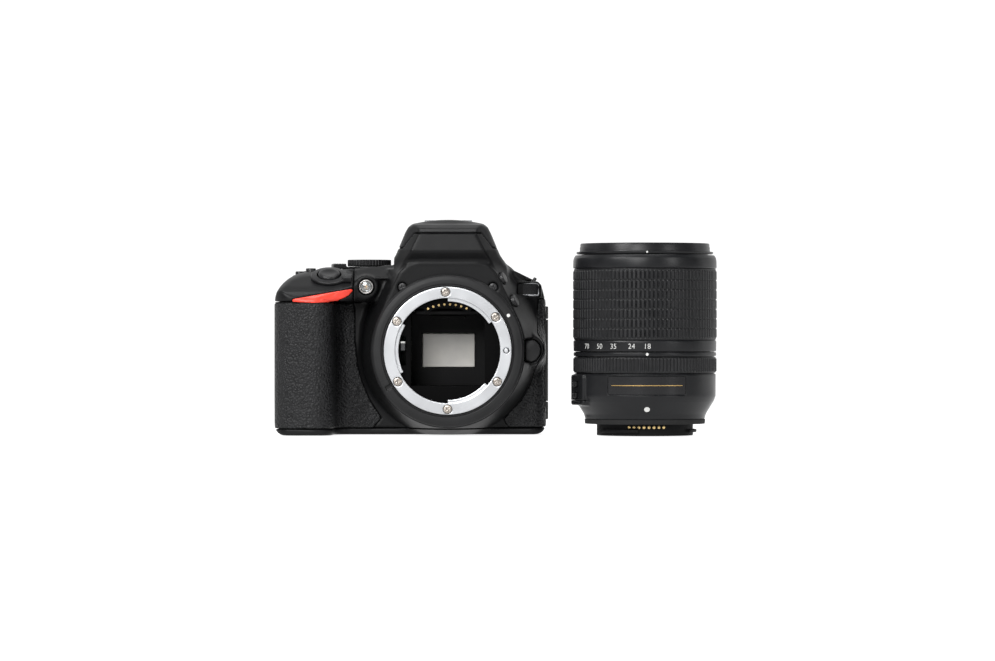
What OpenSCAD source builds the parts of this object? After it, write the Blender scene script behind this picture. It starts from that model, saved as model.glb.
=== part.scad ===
// Digital single-lens reflex camera with its interchangeable zoom lens standing beside it.
// Millimetres. X to the right seen from the front, +Y towards the back, +Z up.
// Origin: the mouth of the tripod socket, on the base, under the lens axis. The front faces -Y.

/* [Body] */
// Left end of the grip, seen from the front
grip_end_x = -78; // [-80:0.5:-76]
// Right end of the body, seen from the front
body_end_x = 44.5; // [43.5:0.5:45]
// Back face of the rear cover
back_y = 22; // [21.5:0.5:22]
// Thickness of the moulded covers
wall = 2; // [1.6:0.1:2.2]
// Thickness of the grip leatherette
skin = 1; // [0.8:0.1:1.1]

/* [Lens mount] */
// Height of the lens axis above the base
axis_z = 38; // [37.5:0.5:38.5]
// Flange face of the lens mount
flange_y = -33; // [-33.5:0.5:-32.5]
// Outer radius of the metal mount ring
ring_r = 28.6; // [28:0.1:28.7]
// Radius of the throat in front of the bayonet lugs
throat_r = 23.5; // [23.3:0.1:23.6]
// Inner radius of the three bayonet lugs
lug_r = 22; // [21.8:0.1:22.2]

/* [Monitor] */
// Height of the monitor housing
monitor_h = 49; // [47:0.5:49]
// Radius of the monitor's hinge barrel
hinge_r = 3.1; // [2.8:0.1:3.2]

/* [Zoom lens] */
// Distance of the standing lens from the camera's lens axis
lens_x = 88.5; // [88.5:0.5:110]
// Outer radius of the zoom grip
lens_r = 32.4; // [32.2:0.1:32.6]
// Length from the flange to the front rim
lens_len = 80.5; // [80:0.1:81.5]

/* [Hidden] */
$fn = 72;
eps = 0.01;
gap = 0.25;                        // clearance round pieces that move
pin_r = 0.6;                       // hinge pins of the doors
sensor_y = flange_y + 46.5;        // focal plane
command_z = 71.9;                  // underside of the command dial
deck_tilt = 27;                    // slope of the shutter deck
deck = [-53.5, -18, 70.7];         // centre of the shutter button on the deck
pod = [36.6, 38];                  // centre of the lens release button, X and Z
lamp = [-36.7, 66.6];              // centre of the assist lamp, X and Z
split_y = 4;                       // seam between the front and rear covers
split_bottom_z = 3;                // seam above the bottom cover
split_top_z = 69.5;                // seam below the top cover
split_deck_z = 60;                 // seam below the shutter deck
lug_arcs = [[33, 90], [149, 206], [270, 319]];
screw_angles = [92, 150, 212, 270, 328, 35];
screw_pitch_r = 26.2;
dial_c = [-36, 4];                 // mode dial centre, X and Y
dial_r = 10;
top_z = 74.8;                      // top deck round the mode dial
flash_axis = [-6.9, 94.2];         // flash hinge, Y and Z
mirror_axis = [5.2, 55.2];         // reflex mirror hinge, Y and Z
monitor_axis = [42.5, 26];         // monitor hinge, X and Y
battery_door_axis = [-56.6, 0.95]; // X and Z
card_door_axis = [-77.05, 15.2];   // X and Y
socket_cover_axis = [43.5, -1.8];  // X and Y
flank_tilt = 23.4;                 // slope of the flank that holds the flash and function buttons
flash_button_c = [23.9, -24.7, 70];
function_button_c = [29.1, -24.7, 60];
lens_y = -22;                      // the lens stands a little in front of the body's middle
focus_z = [28, 35.2];              // focus ring
zoom_z = 37.6;                     // lower edge of the zoom ring
grip_z = [42.7, 74.7];             // rubber zoom grip
switch_z = [18, 23];               // the two slide switches on the barrel
flange_z = 5.5;                    // height of the standing lens's flange: its bayonet tube is below it

// ---------- helpers ----------

// Extrudes a profile drawn in X and Z along Y, from y0 to y1
module along_y(y0, y1) translate([0, y1, 0]) rotate([90, 0, 0]) linear_extrude(y1 - y0) children();

// Extrudes a profile drawn in Y and Z along X, from x0 to x1
module along_x(x0, x1) translate([x0, 0, 0]) rotate([90, 0, 90]) linear_extrude(x1 - x0) children();

// A box between two corners
module block(a, b) translate(a) cube(b - a);

// The lens mount's own frame: origin on the flange, Z out of the camera, Y up
module on_mount() translate([0, flange_y, axis_z]) rotate([90, 0, 0]) children();

// The shutter button's own frame: Z square to the sloping deck
module on_deck() translate(deck) rotate([deck_tilt, 0, 0]) children();

// A frame on the flank beside the lens mount, Z out of the flank
module on_flank(c) translate(c) rotate([0, 90 - flank_tilt, -21]) children();

// A tube between two heights
module tube(r_out, r_in, z0, z1) translate([0, 0, z0]) difference() {
    cylinder(r = r_out, h = z1 - z0);
    translate([0, 0, -1]) cylinder(r = r_in, h = z1 - z0 + 2);
}

// A flat sector of a ring, from angle a0 to a1
module sector(r_in, r_out, a0, a1, z0, z1)
    translate([0, 0, z0]) rotate([0, 0, a0])
        rotate_extrude(angle = a1 - a0) translate([r_in, 0]) square([r_out - r_in, z1 - z0]);

// A plate with round corners, centred, drawn in the plane
module round_rect(w, h, r) hull() for (x = [-1, 1], y = [-1, 1])
    translate([x * (w / 2 - r), y * (h / 2 - r)]) circle(r, $fn = 24);

function arc(c, r, a0, a1, n) = [for (i = [0 : n]) let (a = a0 + (a1 - a0) * i / n)
    [c[0] + r * cos(a), c[1] + r * sin(a)]];

// ---------- outer form ----------

// Front outline without the viewfinder hump, X and Z
outline = concat(
    arc([grip_end_x + 5, 5], 5, 180, 270, 5),
    arc([body_end_x - 5, 5], 5, 270, 360, 5),
    [[body_end_x, 58], [43.3, 65.5], [41, 69.2], [36, 72], [26.5, 76.4], [-26, 76.4], [-46, 75.2],
     [-57.5, 73.9]],
    arc([-62.6, 58.2], 15.4, 90, 180, 9));

// Plan of the grip and the slab below the deck, X and Y
plan_low = concat(
    arc([grip_end_x + 5, back_y - 5], 5, 90, 180, 4),
    arc([grip_end_x + 10, -22], 10, 180, 250, 5),
    [[-65, -32.8]],
    arc([-60.5, -24], 9, 265, 350, 5),
    arc([-44, -15], 7, 170, 100, 5),
    [[-36, -8], [37, -8]],
    arc([body_end_x - 7, -1], 7, 270, 360, 4),
    arc([body_end_x - 2, back_y - 2], 2, 0, 90, 2));

// Plan of the shutter deck, which bridges the finger groove
plan_deck = concat(
    arc([grip_end_x + 5, back_y - 5], 5, 90, 180, 4),
    arc([grip_end_x + 10, -22], 10, 180, 250, 5),
    [[-65, -32.8], [-58, -32.6], [-51, -30.6], [-44, -26.5], [-38, -22.5], [-28, -18], [-20, -12],
     [20, -12], [37, -8]],
    arc([body_end_x - 7, -1], 7, 270, 360, 4),
    arc([body_end_x - 2, back_y - 2], 2, 0, 90, 2));

// Side outline of the grip and slab, Y and Z
side = [[-34, 0], [-34, 57.5], [-33, 60.5], [-30, 64.2], [-26, 66.7], [-8.2, 75.8], [-5, 76.6],
    [back_y - 2, 76.6], [back_y, 74.5], [back_y, 0]];

// Front and rear outlines of the lens-mount tower, X and Z
tower_front = concat([[-12, 82], [12, 82], [17, 80], [21.7, 73], [27.3, 62], [32.6, 50]],
    arc([0, axis_z], 34.6, 12, -192, 34), [[-32.2, 50], [-27.9, 62], [-21, 75], [-17, 80]]);
tower_rear = concat([[-14, 82], [14, 82], [22, 80], [28, 73], [36, 64], [40, 52], [43.3, 44], [43.6, 33]],
    arc([0, axis_z], 39.6, -14, -178, 30), [[-38.5, 50], [-34, 64], [-27, 76], [-20, 80]]);

// Front outline of the viewfinder hump, X and Z
hump_front = [[-29, 70], [29, 70], [26.6, 76.6], [18.9, 92.2], [17.6, 93.9], [15.4, 94.9], [10, 95.3],
    [-10, 95.3], [-15.4, 94.9], [-17.6, 93.9], [-18.9, 92.2], [-26.6, 76.6]];
// Side outline of the hump, Y and Z: name face, top, eyepiece wall
hump_side = [[-27.5, 70], [-27.5, 76.5], [-33.2, 82.4], [-32.2, 90.2], [-30, 92.6], [-26, 94.2], [-20, 95.3],
    [back_y - 5, 95.3], [back_y - 1, 93], [back_y, 90], [back_y, 70]];

// A polygon drawn in by d
module inset(points, d) {
    if (d == 0) polygon(points);
    else offset(delta = -d) polygon(points);
}

module body_form(d = 0) {
    intersection() {
        along_y(-34 + d, back_y - d) inset(outline, d);
        along_x(grip_end_x, body_end_x) inset(side, d);
        union() {
            linear_extrude(split_deck_z + d) inset(plan_low, d);
            translate([0, 0, split_deck_z + d]) linear_extrude(20) inset(plan_deck, d);
        }
    }
}

module tower_form(d = 0) intersection() {
    hull() {
        along_y(-29.5 + d, -29.4 + d) inset(tower_front, d);
        along_y(-8 + d, -7.9 + d) inset(tower_rear, d);
    }
    block([-50, -40, d], [50, 0, 100]);
}

module hump_form(d = 0) intersection() {
    along_y(-34, back_y) inset(hump_front, d);
    along_x(-30, 30) inset(hump_side, d);
}

// The housing that stands round the lens release button and the pod of the assist lamp
module pods() {
    translate([pod[0], 0, pod[1]]) rotate([90, 0, 0]) translate([0, 0, 6]) cylinder(r = 7.3, h = 13);
    translate([lamp[0], 0, lamp[1]]) rotate([90, 0, 0]) translate([0, 0, 12]) cylinder(r = 5.2, h = 11);
}

module outer_form() {
    body_form();
    tower_form();
    hump_form();
    pods();
}

module hollow() {
    body_form(wall + skin * 0.6);
    // joins the slab's hollow to the tower's
    block([-20, -12, wall + skin * 0.6], [20, 0, 30]);
    along_y(-12, 0) translate([0, axis_z]) circle(30);
    tower_form(wall);
    hump_form(wall);
    block([-24, -20, 60], [24, back_y - 3, 80]);
}

// ---------- regions of the covers ----------

module deck_region() block([-90, -40, split_deck_z], [-30.5, 40, 100]);
module top_region() {
    deck_region();
    block([-30.6, -8, split_top_z], [60, 40, 100]);
}
module flash_region(d = 0) along_x(-40, 40)
    polygon([[-40, 90.6 - d], [-28.3 - d, 90.6 - d], [-26 - d, 84 - d], [-6.2 + d, 84 - d], [-6.2 + d, 100],
        [-40, 100]]);
module bottom_region() block([-90, -50, -1], [90, 50, split_bottom_z]);

// Where the grip leatherette lies, as a volume that cuts the skin out of the outer form
module grip_rubber_region() difference() {
    block([-90, -40, split_bottom_z + 0.2], [-28, 8, split_deck_z - 0.6]);
    on_mount() translate([0, 0, -40]) cylinder(r = 41.5, h = 60);
    block([-90, -3, 10], [-74, 40, 56]);
}
module side_rubber_region() difference() {
    along_y(-40, 8) polygon([[24, 3.4], [60, 3.4], [60, 61.5], [41.2, 61.5], [40.3, 57], [40.3, 47],
        [42.9, 44.4], [43.6, 38], [30, 20]]);
    on_mount() translate([0, 0, -40]) cylinder(r = 39.9, h = 60);
    block([40, -4, 10], [60, 40, 58]);
}
module skin_of(d) difference() {
    body_form();
    body_form(d);
}
module accent_region() along_y(-40, -20) polygon([[-69.6, 60.2], [-69.2, 61], [-56, 63.3], [-43.2, 65.5],
    [-42.7, 65], [-44.5, 62.7], [-47, 61.4], [-49.5, 60.6], [-54, 59.9], [-59.2, 59.7], [-64, 59.7], [-68.9, 60]]);

// Openings cut in the covers for what passes through them
module cover_cuts() {
    on_mount() translate([0, 0, -8]) cylinder(r = 29, h = 20);
    translate([0, 0, -1]) cylinder(r = 6.1, h = 8);
    // leatherette and accent seats
    intersection() { skin_of(skin + 0.05); union() { grip_rubber_region(); side_rubber_region(); } }
    intersection() { skin_of(1.25); accent_region(); }
    // buttons and lamp
    translate([pod[0], -30, pod[1]]) rotate([90, 0, 0]) translate([0, 0, -28]) release_outline(gap, 30);
    translate([lamp[0], 0, lamp[1]]) rotate([90, 0, 0]) translate([0, 0, 19.4]) cylinder(r = 3.45, h = 8);
    on_deck() translate([0, 0, -8]) cylinder(r = 5.3, h = 20);
    on_flank(flash_button_c) translate([0, 0, -6]) cylinder(r = 2.85, h = 20);
    on_flank(function_button_c) translate([0, 0, -6]) cylinder(r = 2.85, h = 20);
    for (c = top_buttons) translate([c[0], c[1], 68]) cylinder(r = c[2] + gap, h = 20);
    translate([dial_c[0], dial_c[1], 68]) cylinder(r = 4.3, h = 20);
    translate([command_c[0], command_c[1], command_z - 0.3]) cylinder(r = 6.9, h = 20);
    block([command_c[0] - 6.9, command_c[1], command_z - 0.3], [command_c[0] + 6.9, back_y + 2, 90]);
    translate([command_c[0], command_c[1], 66]) cylinder(r = 2.3, h = 20);
    block([-57.8, -70, top_z], [-24.3, back_y + 1, 80]);
    // mount and cover screws
    for (x = [-20.3, 20.3]) translate([x, 0, 66.4]) rotate([90, 0, 0]) {
        translate([0, 0, 20]) cylinder(r = 1.1, h = 20);
        translate([0, 0, 27.6]) cylinder(r = 2.1, h = 20);
    }
    for (c = base_screws) translate([c[0], c[1], -1]) {
        cylinder(r = 1.1, h = 8);
        cylinder(r = 2.1, h = 2);
    }
    // eyepiece window, shoe recess, strap lug seats
    along_y(10, 30) translate([0, 84]) round_rect(25, 16.5, 3);
    block([-11, -5.2, 94], [11, 16.2, 100]);
    for (c = lug_places) translate(c) rotate([0, c[0] < 0 ? -35 : 28, 0]) lug_seat();
    // doors
    block([-75, -28, -1], [-55.4, 14.3, 8]);
    block([-80, -2.2, 11.8], [card_door_axis[0] + 2.2, 16.5, 54.2]);
    block([socket_cover_axis[0] - 2.4, -3, 11.8], [60, 13.2, 56.2]);
    along_y(-29.2, 15.5) translate(battery_door_axis) circle(pin_r + 0.08);
    translate([card_door_axis[0], card_door_axis[1], 10.6]) cylinder(r = pin_r + 0.08, h = 44.8);
    translate([socket_cover_axis[0], socket_cover_axis[1], 10.6]) cylinder(r = pin_r + 0.08, h = 46.8);
    // rear controls
    for (c = rear_controls) translate([c[0], back_y - 4, c[1]]) rotate([-90, 0, 0]) cylinder(r = c[2] + gap, h = 9);
    // bores of the multi selector's pivot
    along_x(rear_controls[0][0] - 10.1, rear_controls[0][0] + 10.1)
        translate([back_y - 1.4, rear_controls[0][1]]) circle(0.58);
    // badge recess
    along_y(-13, 0) polygon([[31, 62.2], [31.4, 69], [42, 69], [41.6, 62.2]]);
}

top_buttons = [[-62.3, -3.5, 2.3], [-67.5, 2.5, 2.1]]; // record, exposure: X, Y, radius
command_c = [-60, 15];
rear_controls = [[-56, 38, 9], [-44, 62, 2.4]]; // multi selector, playback: X, Z, radius
base_screws = [[-40, -2], [30, 14], [-40, 16], [30, -3]];
lug_places = [[-70.2, 9, 71.2], [39.2, 9, 70.2]];
lug_w = 9;

module lug_seat() translate([0, 0, -2.2]) linear_extrude(9) square([2.2, lug_w + 0.3], center = true);

module release_outline(d, h) linear_extrude(h) intersection() {
    circle(5.9 + d);
    translate([-2.2 - d, -10]) square(20);
}

module covers() difference() {
    outer_form();
    hollow();
    cover_cuts();
}

// ---------- covers and trim ----------

module front_cover() color("#1b1c1e") {
    difference() {
        intersection() {
            covers();
            block([-90, -50, split_bottom_z], [90, split_y, 100]);
        }
        top_region();
        flash_region(0.5);
    }
    // bulkhead that carries the mirror box
    difference() {
        along_y(-6.5, -5) polygon([[-34, 8], [32, 8], [32, 57], [-34, 57]]);
        along_y(-7, 0) polygon([[-19, 10.4], [19, 10.4], [19, 59], [-19, 59]]);
    }
}

module top_cover() color("#1b1c1e") {
    difference() {
        intersection() {
            covers();
            top_region();
        }
        flash_region(0.8);
        block([-30.6, 0, 60], [60, 40, split_top_z]);
    }
    // boss under the command dial
    translate([command_c[0], command_c[1], 0]) tube(6.6, 2.3, command_z - 3.2, command_z - 0.3);
    // ear that carries the flash hinge pin
    difference() {
        along_x(-3, 3) polygon([[-8.6, 93], [-8.6, 94.6], [-7.6, 95.1], [-5, 95.1], [-5, 92.6], [-7.6, 92.6]]);
        along_x(-4, 4) translate(flash_axis) circle(0.85);
    }
}

module rear_cover() color("#1b1c1e") {
    difference() {
        intersection() {
            covers();
            block([-90, split_y, split_bottom_z], [90, 60, 100]);
        }
        top_region();
    }
    // knuckles of the monitor hinge
    for (z = [[6, 14.3], [52.3, 58.3]]) difference() {
        union() {
            translate([monitor_axis[0], monitor_axis[1], z[0]]) cylinder(r = hinge_r + 0.1, h = z[1] - z[0]);
            block([39.4, back_y - 1.5, z[0]], [monitor_axis[0] + 1.9, monitor_axis[1], z[1]]);
        }
        translate([monitor_axis[0], monitor_axis[1], z[0] - 1]) cylinder(r = 1.3, h = 12);
    }
}

module bottom_cover() color("#17181a") intersection() {
    covers();
    bottom_region();
}

module grip_rubber() color("#232427") intersection() {
    skin_of(skin);
    grip_rubber_region();
}

module side_rubber() color("#232427") intersection() {
    skin_of(skin);
    side_rubber_region();
}

module thumb_rubber() color("#232427") difference() {
    along_y(back_y, back_y + 2.6) polygon(concat(arc([-68, 60], 5.5, 90, 180, 4), arc([-68, 51], 5.5, 180, 270, 4),
        arc([-56, 53], 3, 270, 360, 3), arc([-53.6, 62], 3, 0, 90, 3)));
    along_x(-80, -40) polygon([[back_y + 1, 68], [back_y + 2.7, 62], [back_y + 2.7, 68]]);
}

module grip_accent() color("#e0402f") intersection() {
    skin_of(1.2);
    accent_region();
}

module assist_lamp() color("#d8c9a0") translate([lamp[0], 0, lamp[1]]) rotate([90, 0, 0]) {
    translate([0, 0, 19.5]) cylinder(r = 3.3, h = 4);
    translate([0, 0, 23.4]) difference() {
        cylinder(r1 = 3.3, r2 = 2.3, h = 1);
        translate([0, 0, 0.8]) cylinder(r = 1.2, h = 1);
    }
}

// ---------- lens mount ----------

module mount_collar() color("#151617") on_mount() tube(34, 28.8, -3.5, -0.9);

module mount_ring() color("#c9ccd0") on_mount() difference() {
    union() {
        tube(ring_r, throat_r, -1.3, 0);
        tube(ring_r, throat_r + 0.3, -2.6, -1.25);
        for (a = lug_arcs) sector(lug_r, throat_r + 0.5, a[0], a[1], -2.6, -1.4);
    }
    for (a = screw_angles) rotate([0, 0, a]) translate([screw_pitch_r, 0, -3]) {
        cylinder(r = 1.1, h = 4);
        translate([0, 0, 2]) cylinder(r = 2.05, h = 2);
    }
    translate([screw_pitch_r, 0, -3]) cylinder(r = 1.25, h = 4);
}

// A pan-head screw whose head top is at z = 0
module screw(head_r, shank) difference() {
    union() {
        translate([0, 0, -0.85]) cylinder(r = head_r, h = 0.85);
        translate([0, 0, -shank]) cylinder(r = 1, h = shank - 0.8);
    }
    for (a = [0, 90]) rotate([0, 0, a]) translate([-1.2, -0.25, -0.5]) cube([2.4, 0.5, 1]);
}

module screws() color("#8a857e") {
    on_mount() for (a = screw_angles) rotate([0, 0, a]) translate([screw_pitch_r, 0, -0.1]) screw(1.95, 4.4);
    for (x = [-20.3, 20.3]) translate([x, -28.5, 66.4]) rotate([90, 0, 0]) screw(1.95, 4.4);
    for (c = base_screws) translate([c[0], c[1], 0.1]) rotate([180, 0, 0]) screw(1.95, 4.4);
}

module mirror_box() color("#0c0c0d") {
    difference() {
        union() {
            on_mount() translate([0, 0, -5]) cylinder(r = ring_r - 0.2, h = 2.3);
            block([-18.8, -28.1, 20], [18.8, 7, 58.8]);
        }
        block([-16.6, -40, 22.2], [16.6, 8, 56.8]);
        block([-14.2, -25.2, 50], [14.2, 3, 60]);
        on_mount() for (a = screw_angles) rotate([0, 0, a]) translate([screw_pitch_r, 0, -6]) cylinder(r = 1.05, h = 5);
        on_mount() translate([screw_pitch_r, 0, -6]) cylinder(r = 1.25, h = 5);
        // aperture lever slot
        block([-21.2, -32, axis_z - 6.6], [-18.6, -26, axis_z + 6.6]);
        // bores of the mirror hinge pin
        along_x(-20, 20) translate(mirror_axis) circle(0.9);
    }
    on_mount() sector(19.4, 21.8, 60, 120, -2.7, -2);
}

module contact_pins() color("#d9b45a") on_mount()
    for (i = [0 : 7]) rotate([0, 0, 66 + i * 7]) translate([20.7, 0, -2]) cylinder(r = 0.5, h = 0.6, $fn = 24);

module reflex_mirror() color("#8d9296") {
    block([-14.6, -26, mirror_axis[1] - 0.9], [14.6, mirror_axis[0] - 0.5, mirror_axis[1] + 0.9]);
    along_x(-18.7, 18.7) translate(mirror_axis) circle(0.8);
}

module sub_mirror() color("#6d7276") {
    block([-8, -9.4, mirror_axis[1] - 2.2], [8, 2, mirror_axis[1] - 1.3]);
    along_x(-8, 8) translate([-10, mirror_axis[1] - 1.9]) circle(0.8);
}

module aperture_lever() color("#3a3a3c") block([-20.9, -31.6, axis_z], [-19, -25, axis_z + 4]);

module lens_lock_pin() color("#c2c4c6") on_mount() translate([screw_pitch_r, 0, -7]) cylinder(r = 1.1, h = 8);

module lens_release_button() color("#1a1b1c") translate([pod[0], 0, pod[1]]) rotate([90, 0, 0])
    translate([0, 0, 12]) release_outline(0, 8.4);

// ---------- shutter, sensor and electronics ----------

module shutter_frame() color("#101011") difference() {
    block([-18.6, 7.2, 11], [18.6, 9.8, 58.6]);
    block([-12.2, 5, axis_z - 8.1], [12.2, 11, axis_z + 8.1]);
    block([-13.4, 8, 12], [13.4, 9, axis_z + 10]);
}

module shutter_curtain() color("#19191b") block([-13.2, 8.15, 12.3], [13.2, 8.85, axis_z - 8.4]);

module image_sensor() color("#8f8d89") {
    block([-15, sensor_y, axis_z - 11], [15, sensor_y + 2, axis_z + 11]);
    block([-12, sensor_y - 1.2, axis_z - 7.8], [12, sensor_y, axis_z + 7.8]);
}

module circuit_boards() color("#1e5b38") {
    block([-17, sensor_y + 2, 22], [17, sensor_y + 3.2, 54]);
    difference() {
        block([-40, sensor_y + 4, 7], [39, sensor_y + 5.2, 64]);
        for (c = [[-36, 60], [35, 60], [-36, 11], [35, 11]])
            translate([c[0], sensor_y, c[1]]) rotate([-90, 0, 0]) cylinder(r = 1.2, h = 9);
    }
}

module battery() color("#33353a") block([-72.4, -25.6, 2.4], [-58.4, 11.6, 55]);

module memory_card() color("#20242c") linear_extrude_card();
module linear_extrude_card() along_y(13, 15.1)
    polygon([[-74.4, 22], [-42.4, 22], [-42.4, 46], [-70.4, 46], [-74.4, 42]]);

module focusing_screen() color("#c8cdd0") block([-13.9, -24.9, 57], [13.9, 2.7, 58.6]);

module pentamirror() color("#9aa0a6") difference() {
    along_x(-13, 13) polygon([[-24, 59.3], [-25.5, 66], [-24.5, 80], [-12, 83.2], [4, 82.6], [14, 90.8], [16, 88],
        [16, 78], [2.6, 59.3]]);
    along_x(-11.5, 11.5) polygon([[-22.4, 59], [-24, 66], [-23, 79], [-12, 81.5], [4.6, 81], [13, 88], [18, 86],
        [18, 79.5], [14, 79], [1, 59]]);
}

module eyepiece_lens() color("#8fa0aa") along_y(19.2, 21.6) translate([0, 84]) round_rect(24.8, 16.3, 3);

module eyecup() color("#141415") difference() {
    union() {
        along_y(back_y + 0.1, back_y + 6) translate([0, 84]) round_rect(33, 22.4, 5);
        along_y(back_y + 6, back_y + 10) translate([0, 84]) round_rect(36, 24, 7);
    }
    along_y(back_y - 1, back_y + 12) translate([0, 84]) round_rect(25, 16.5, 3);
}

module hot_shoe() color("#b4b6b8") {
    block([-10.7, -5, 94.01], [10.7, 16, 94.6]);
    for (s = [-1, 1]) {
        block([min(s * 10.7, s * 9.4), -5, 94.6], [max(s * 10.7, s * 9.4), 16, 96.4]);
        block([min(s * 10.7, s * 6.3), -5, 96.4], [max(s * 10.7, s * 6.3), 16, 97]);
    }
    block([-9.4, -5, 94.6], [9.4, -4, 96.4]);
}

module strap_lugs() color("#9a9c9e") for (c = lug_places) translate(c) rotate([0, c[0] < 0 ? -35 : 28, 0])
    difference() {
        translate([-0.9, -lug_w / 2, -2]) cube([1.8, lug_w, 4.1]);
        hull() for (y = [-2.4, 2.4]) translate([-2, y, 1]) rotate([0, 90, 0]) cylinder(r = 0.8, h = 4, $fn = 24);
    }

module tripod_socket() color("#b9bbbd") difference() {
    union() {
        cylinder(r = 6, h = 6.5);
        translate([0, 0, 3.2]) cylinder(r = 8, h = 1.2);
    }
    translate([0, 0, -1]) cylinder(r = 3.175, h = 6.5);
}

// ---------- controls ----------

module knurl(r, h, n, depth) difference() {
    cylinder(r = r, h = h);
    for (i = [0 : n - 1]) rotate([0, 0, i * 360 / n]) translate([r + 0.35, 0, -1])
        cylinder(r = 0.35 + depth, h = h + 2, $fn = 4);
}

module button(c, h, over) translate([c[0], c[1], over - h]) cylinder(r = c[2], h = h);

module shutter_button() color("#26272a") on_deck() {
    translate([0, 0, -2.2]) cylinder(r = 4.95, h = 4.4);
    translate([0, 0, 2.2]) cylinder(r1 = 4.95, r2 = 4.3, h = 0.6);
}

module power_switch() color("#1d1e20") on_deck() {
    tube(8.3, 5.4, 0.15, 1.7);
    difference() {
        translate([6.2, -5.4, 0.15]) cube([4.4, 4, 2.9]);
        translate([0, 0, -1]) cylinder(r = 5.4, h = 9);
    }
}

module mode_dial() color("#17181a") translate([dial_c[0], dial_c[1], 0]) {
    translate([0, 0, top_z + 1.35]) knurl(dial_r, 3, 36, 0.25);
    translate([0, 0, top_z - 5]) cylinder(r = 4, h = 6.4);
}

module live_view_lever() color("#202123") translate([dial_c[0], dial_c[1], top_z]) {
    tube(dial_r + 0.5, 4.3, 0.1, 1.15);
    rotate([0, 0, 195]) translate([dial_r - 1, -2.6, 0.1]) cube([8.4, 5.2, 1.05]);
    rotate([0, 0, 195]) translate([dial_r + 1.2, -2.6, 0.1]) cube([6.2, 5.2, 2.5]);
}

module record_button() color("#26272a") button(top_buttons[0], 4.6, 75.2);
module exposure_button() color("#26272a") button(top_buttons[1], 4.6, 73.9);

module command_dial() color("#17181a") translate([command_c[0], command_c[1], 0]) {
    translate([0, 0, command_z]) knurl(6.6, 2.3, 28, 0.2);
    translate([0, 0, command_z - 4]) cylinder(r = 2, h = 4.2);
}

module flank_button(c) on_flank(c) translate([0, 0, -1.8]) cylinder(r = 2.6, h = 3.8);
module flash_button() color("#26272a") flank_button(flash_button_c);
module function_button() color("#26272a") flank_button(function_button_c);

module flash_head() color("#1b1c1e") {
    difference() {
        intersection() {
            hump_form();
            flash_region();
        }
        intersection() {
            hump_form(1.8);
            along_x(-30, 30) polygon([[-23.8, 80], [-25.4, 92.6], [-8.4, 92.6], [-8.4, 80]]);
        }
        block([-3.3, -9.4, 80], [3.3, -5, 100]);
        block([-11, -5.2, 94], [11, 16.2, 100]);
    }
    along_x(-3.4, 3.4) translate(flash_axis) circle(0.75);
    // flash tube and reflector box under the lid
    block([-11, -24.9, 86.6], [11, -18, 92.7]);
}

module monitor_housing() color("#18191b") {
    difference() {
        union() {
            block([-31.5, back_y + 0.6, 33 - monitor_h / 2], [38.8, back_y + 7.2, 33 + monitor_h / 2]);
            block([38, 24.6, 17], [monitor_axis[0], 27.4, 50]);
            translate([monitor_axis[0], monitor_axis[1], 14.6]) cylinder(r = hinge_r, h = 37.4);
        }
        block([-29.1, back_y + 6.3, 10.9], [36.4, back_y + 8, 55.1]);
    }
    for (z = [7.3, 51]) translate([monitor_axis[0], monitor_axis[1], z]) cylinder(r = 1.2, h = 7.8 - (z > 20 ? 1 : 0));
}

module monitor_screen() color("#0b0c10") block([-29, back_y + 6.3, 11], [36.3, back_y + 7.1, 55]);

module multi_selector() color("#1f2022") translate([rear_controls[0][0], back_y - 2, rear_controls[0][1]])
{
    rotate([-90, 0, 0]) tube(8.8, 4, 0, 3.4);
    for (x = [-9.9, 8]) along_x(x, x + 1.9) translate([0.6, 0]) circle(0.5);
}

module ok_button() color("#26272a") translate([rear_controls[0][0], back_y - 2, rear_controls[0][1]])
    rotate([-90, 0, 0]) cylinder(r = 3.75, h = 3.6);

module playback_button() color("#26272a") translate([rear_controls[1][0], back_y - 2, rear_controls[1][1]])
    rotate([-90, 0, 0]) cylinder(r = 2.4, h = 2.9);

// ---------- doors ----------

module battery_door() color("#17181a") {
    block([-74.7, -27.7, 0], [battery_door_axis[0], 14, 1.9]);
    along_y(-27.7, 14) translate(battery_door_axis) circle(0.95);
    along_y(-28.8, 15.1) translate(battery_door_axis) circle(pin_r);
}

module card_door() color("#1b1c1e") {
    block([grip_end_x, -1.9, 12.1], [grip_end_x + 1.8, card_door_axis[1], 53.9]);
    translate([card_door_axis[0], card_door_axis[1], 12.1]) cylinder(r = 0.9, h = 41.8);
    translate([card_door_axis[0], card_door_axis[1], 11]) cylinder(r = pin_r, h = 44);
}

module socket_cover() color("#232427") {
    block([body_end_x - 1.8, socket_cover_axis[1], 12.1], [body_end_x, 12.9, 55.9]);
    translate([socket_cover_axis[0], socket_cover_axis[1], 12.1]) cylinder(r = 0.9, h = 43.8);
    translate([socket_cover_axis[0], socket_cover_axis[1], 11]) cylinder(r = pin_r, h = 46);
}

// ---------- zoom lens ----------

module on_lens() translate([lens_x, lens_y, 0]) children();

// Frame of the switch panel on the barrel: X out of the barrel, Y round it
module on_panel() rotate([0, 0, 197]) children();

module lens_bayonet() color("#c9ccd0") on_lens() {
    tube(26.4, 18, flange_z, flange_z + 1.5);
    tube(21.6, 18, 0, flange_z);
    for (a = lug_arcs) rotate([0, 0, a[0] + 58]) sector(21.5, 23.2, 0, 54, 1.5, 2.8);
}

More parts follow.
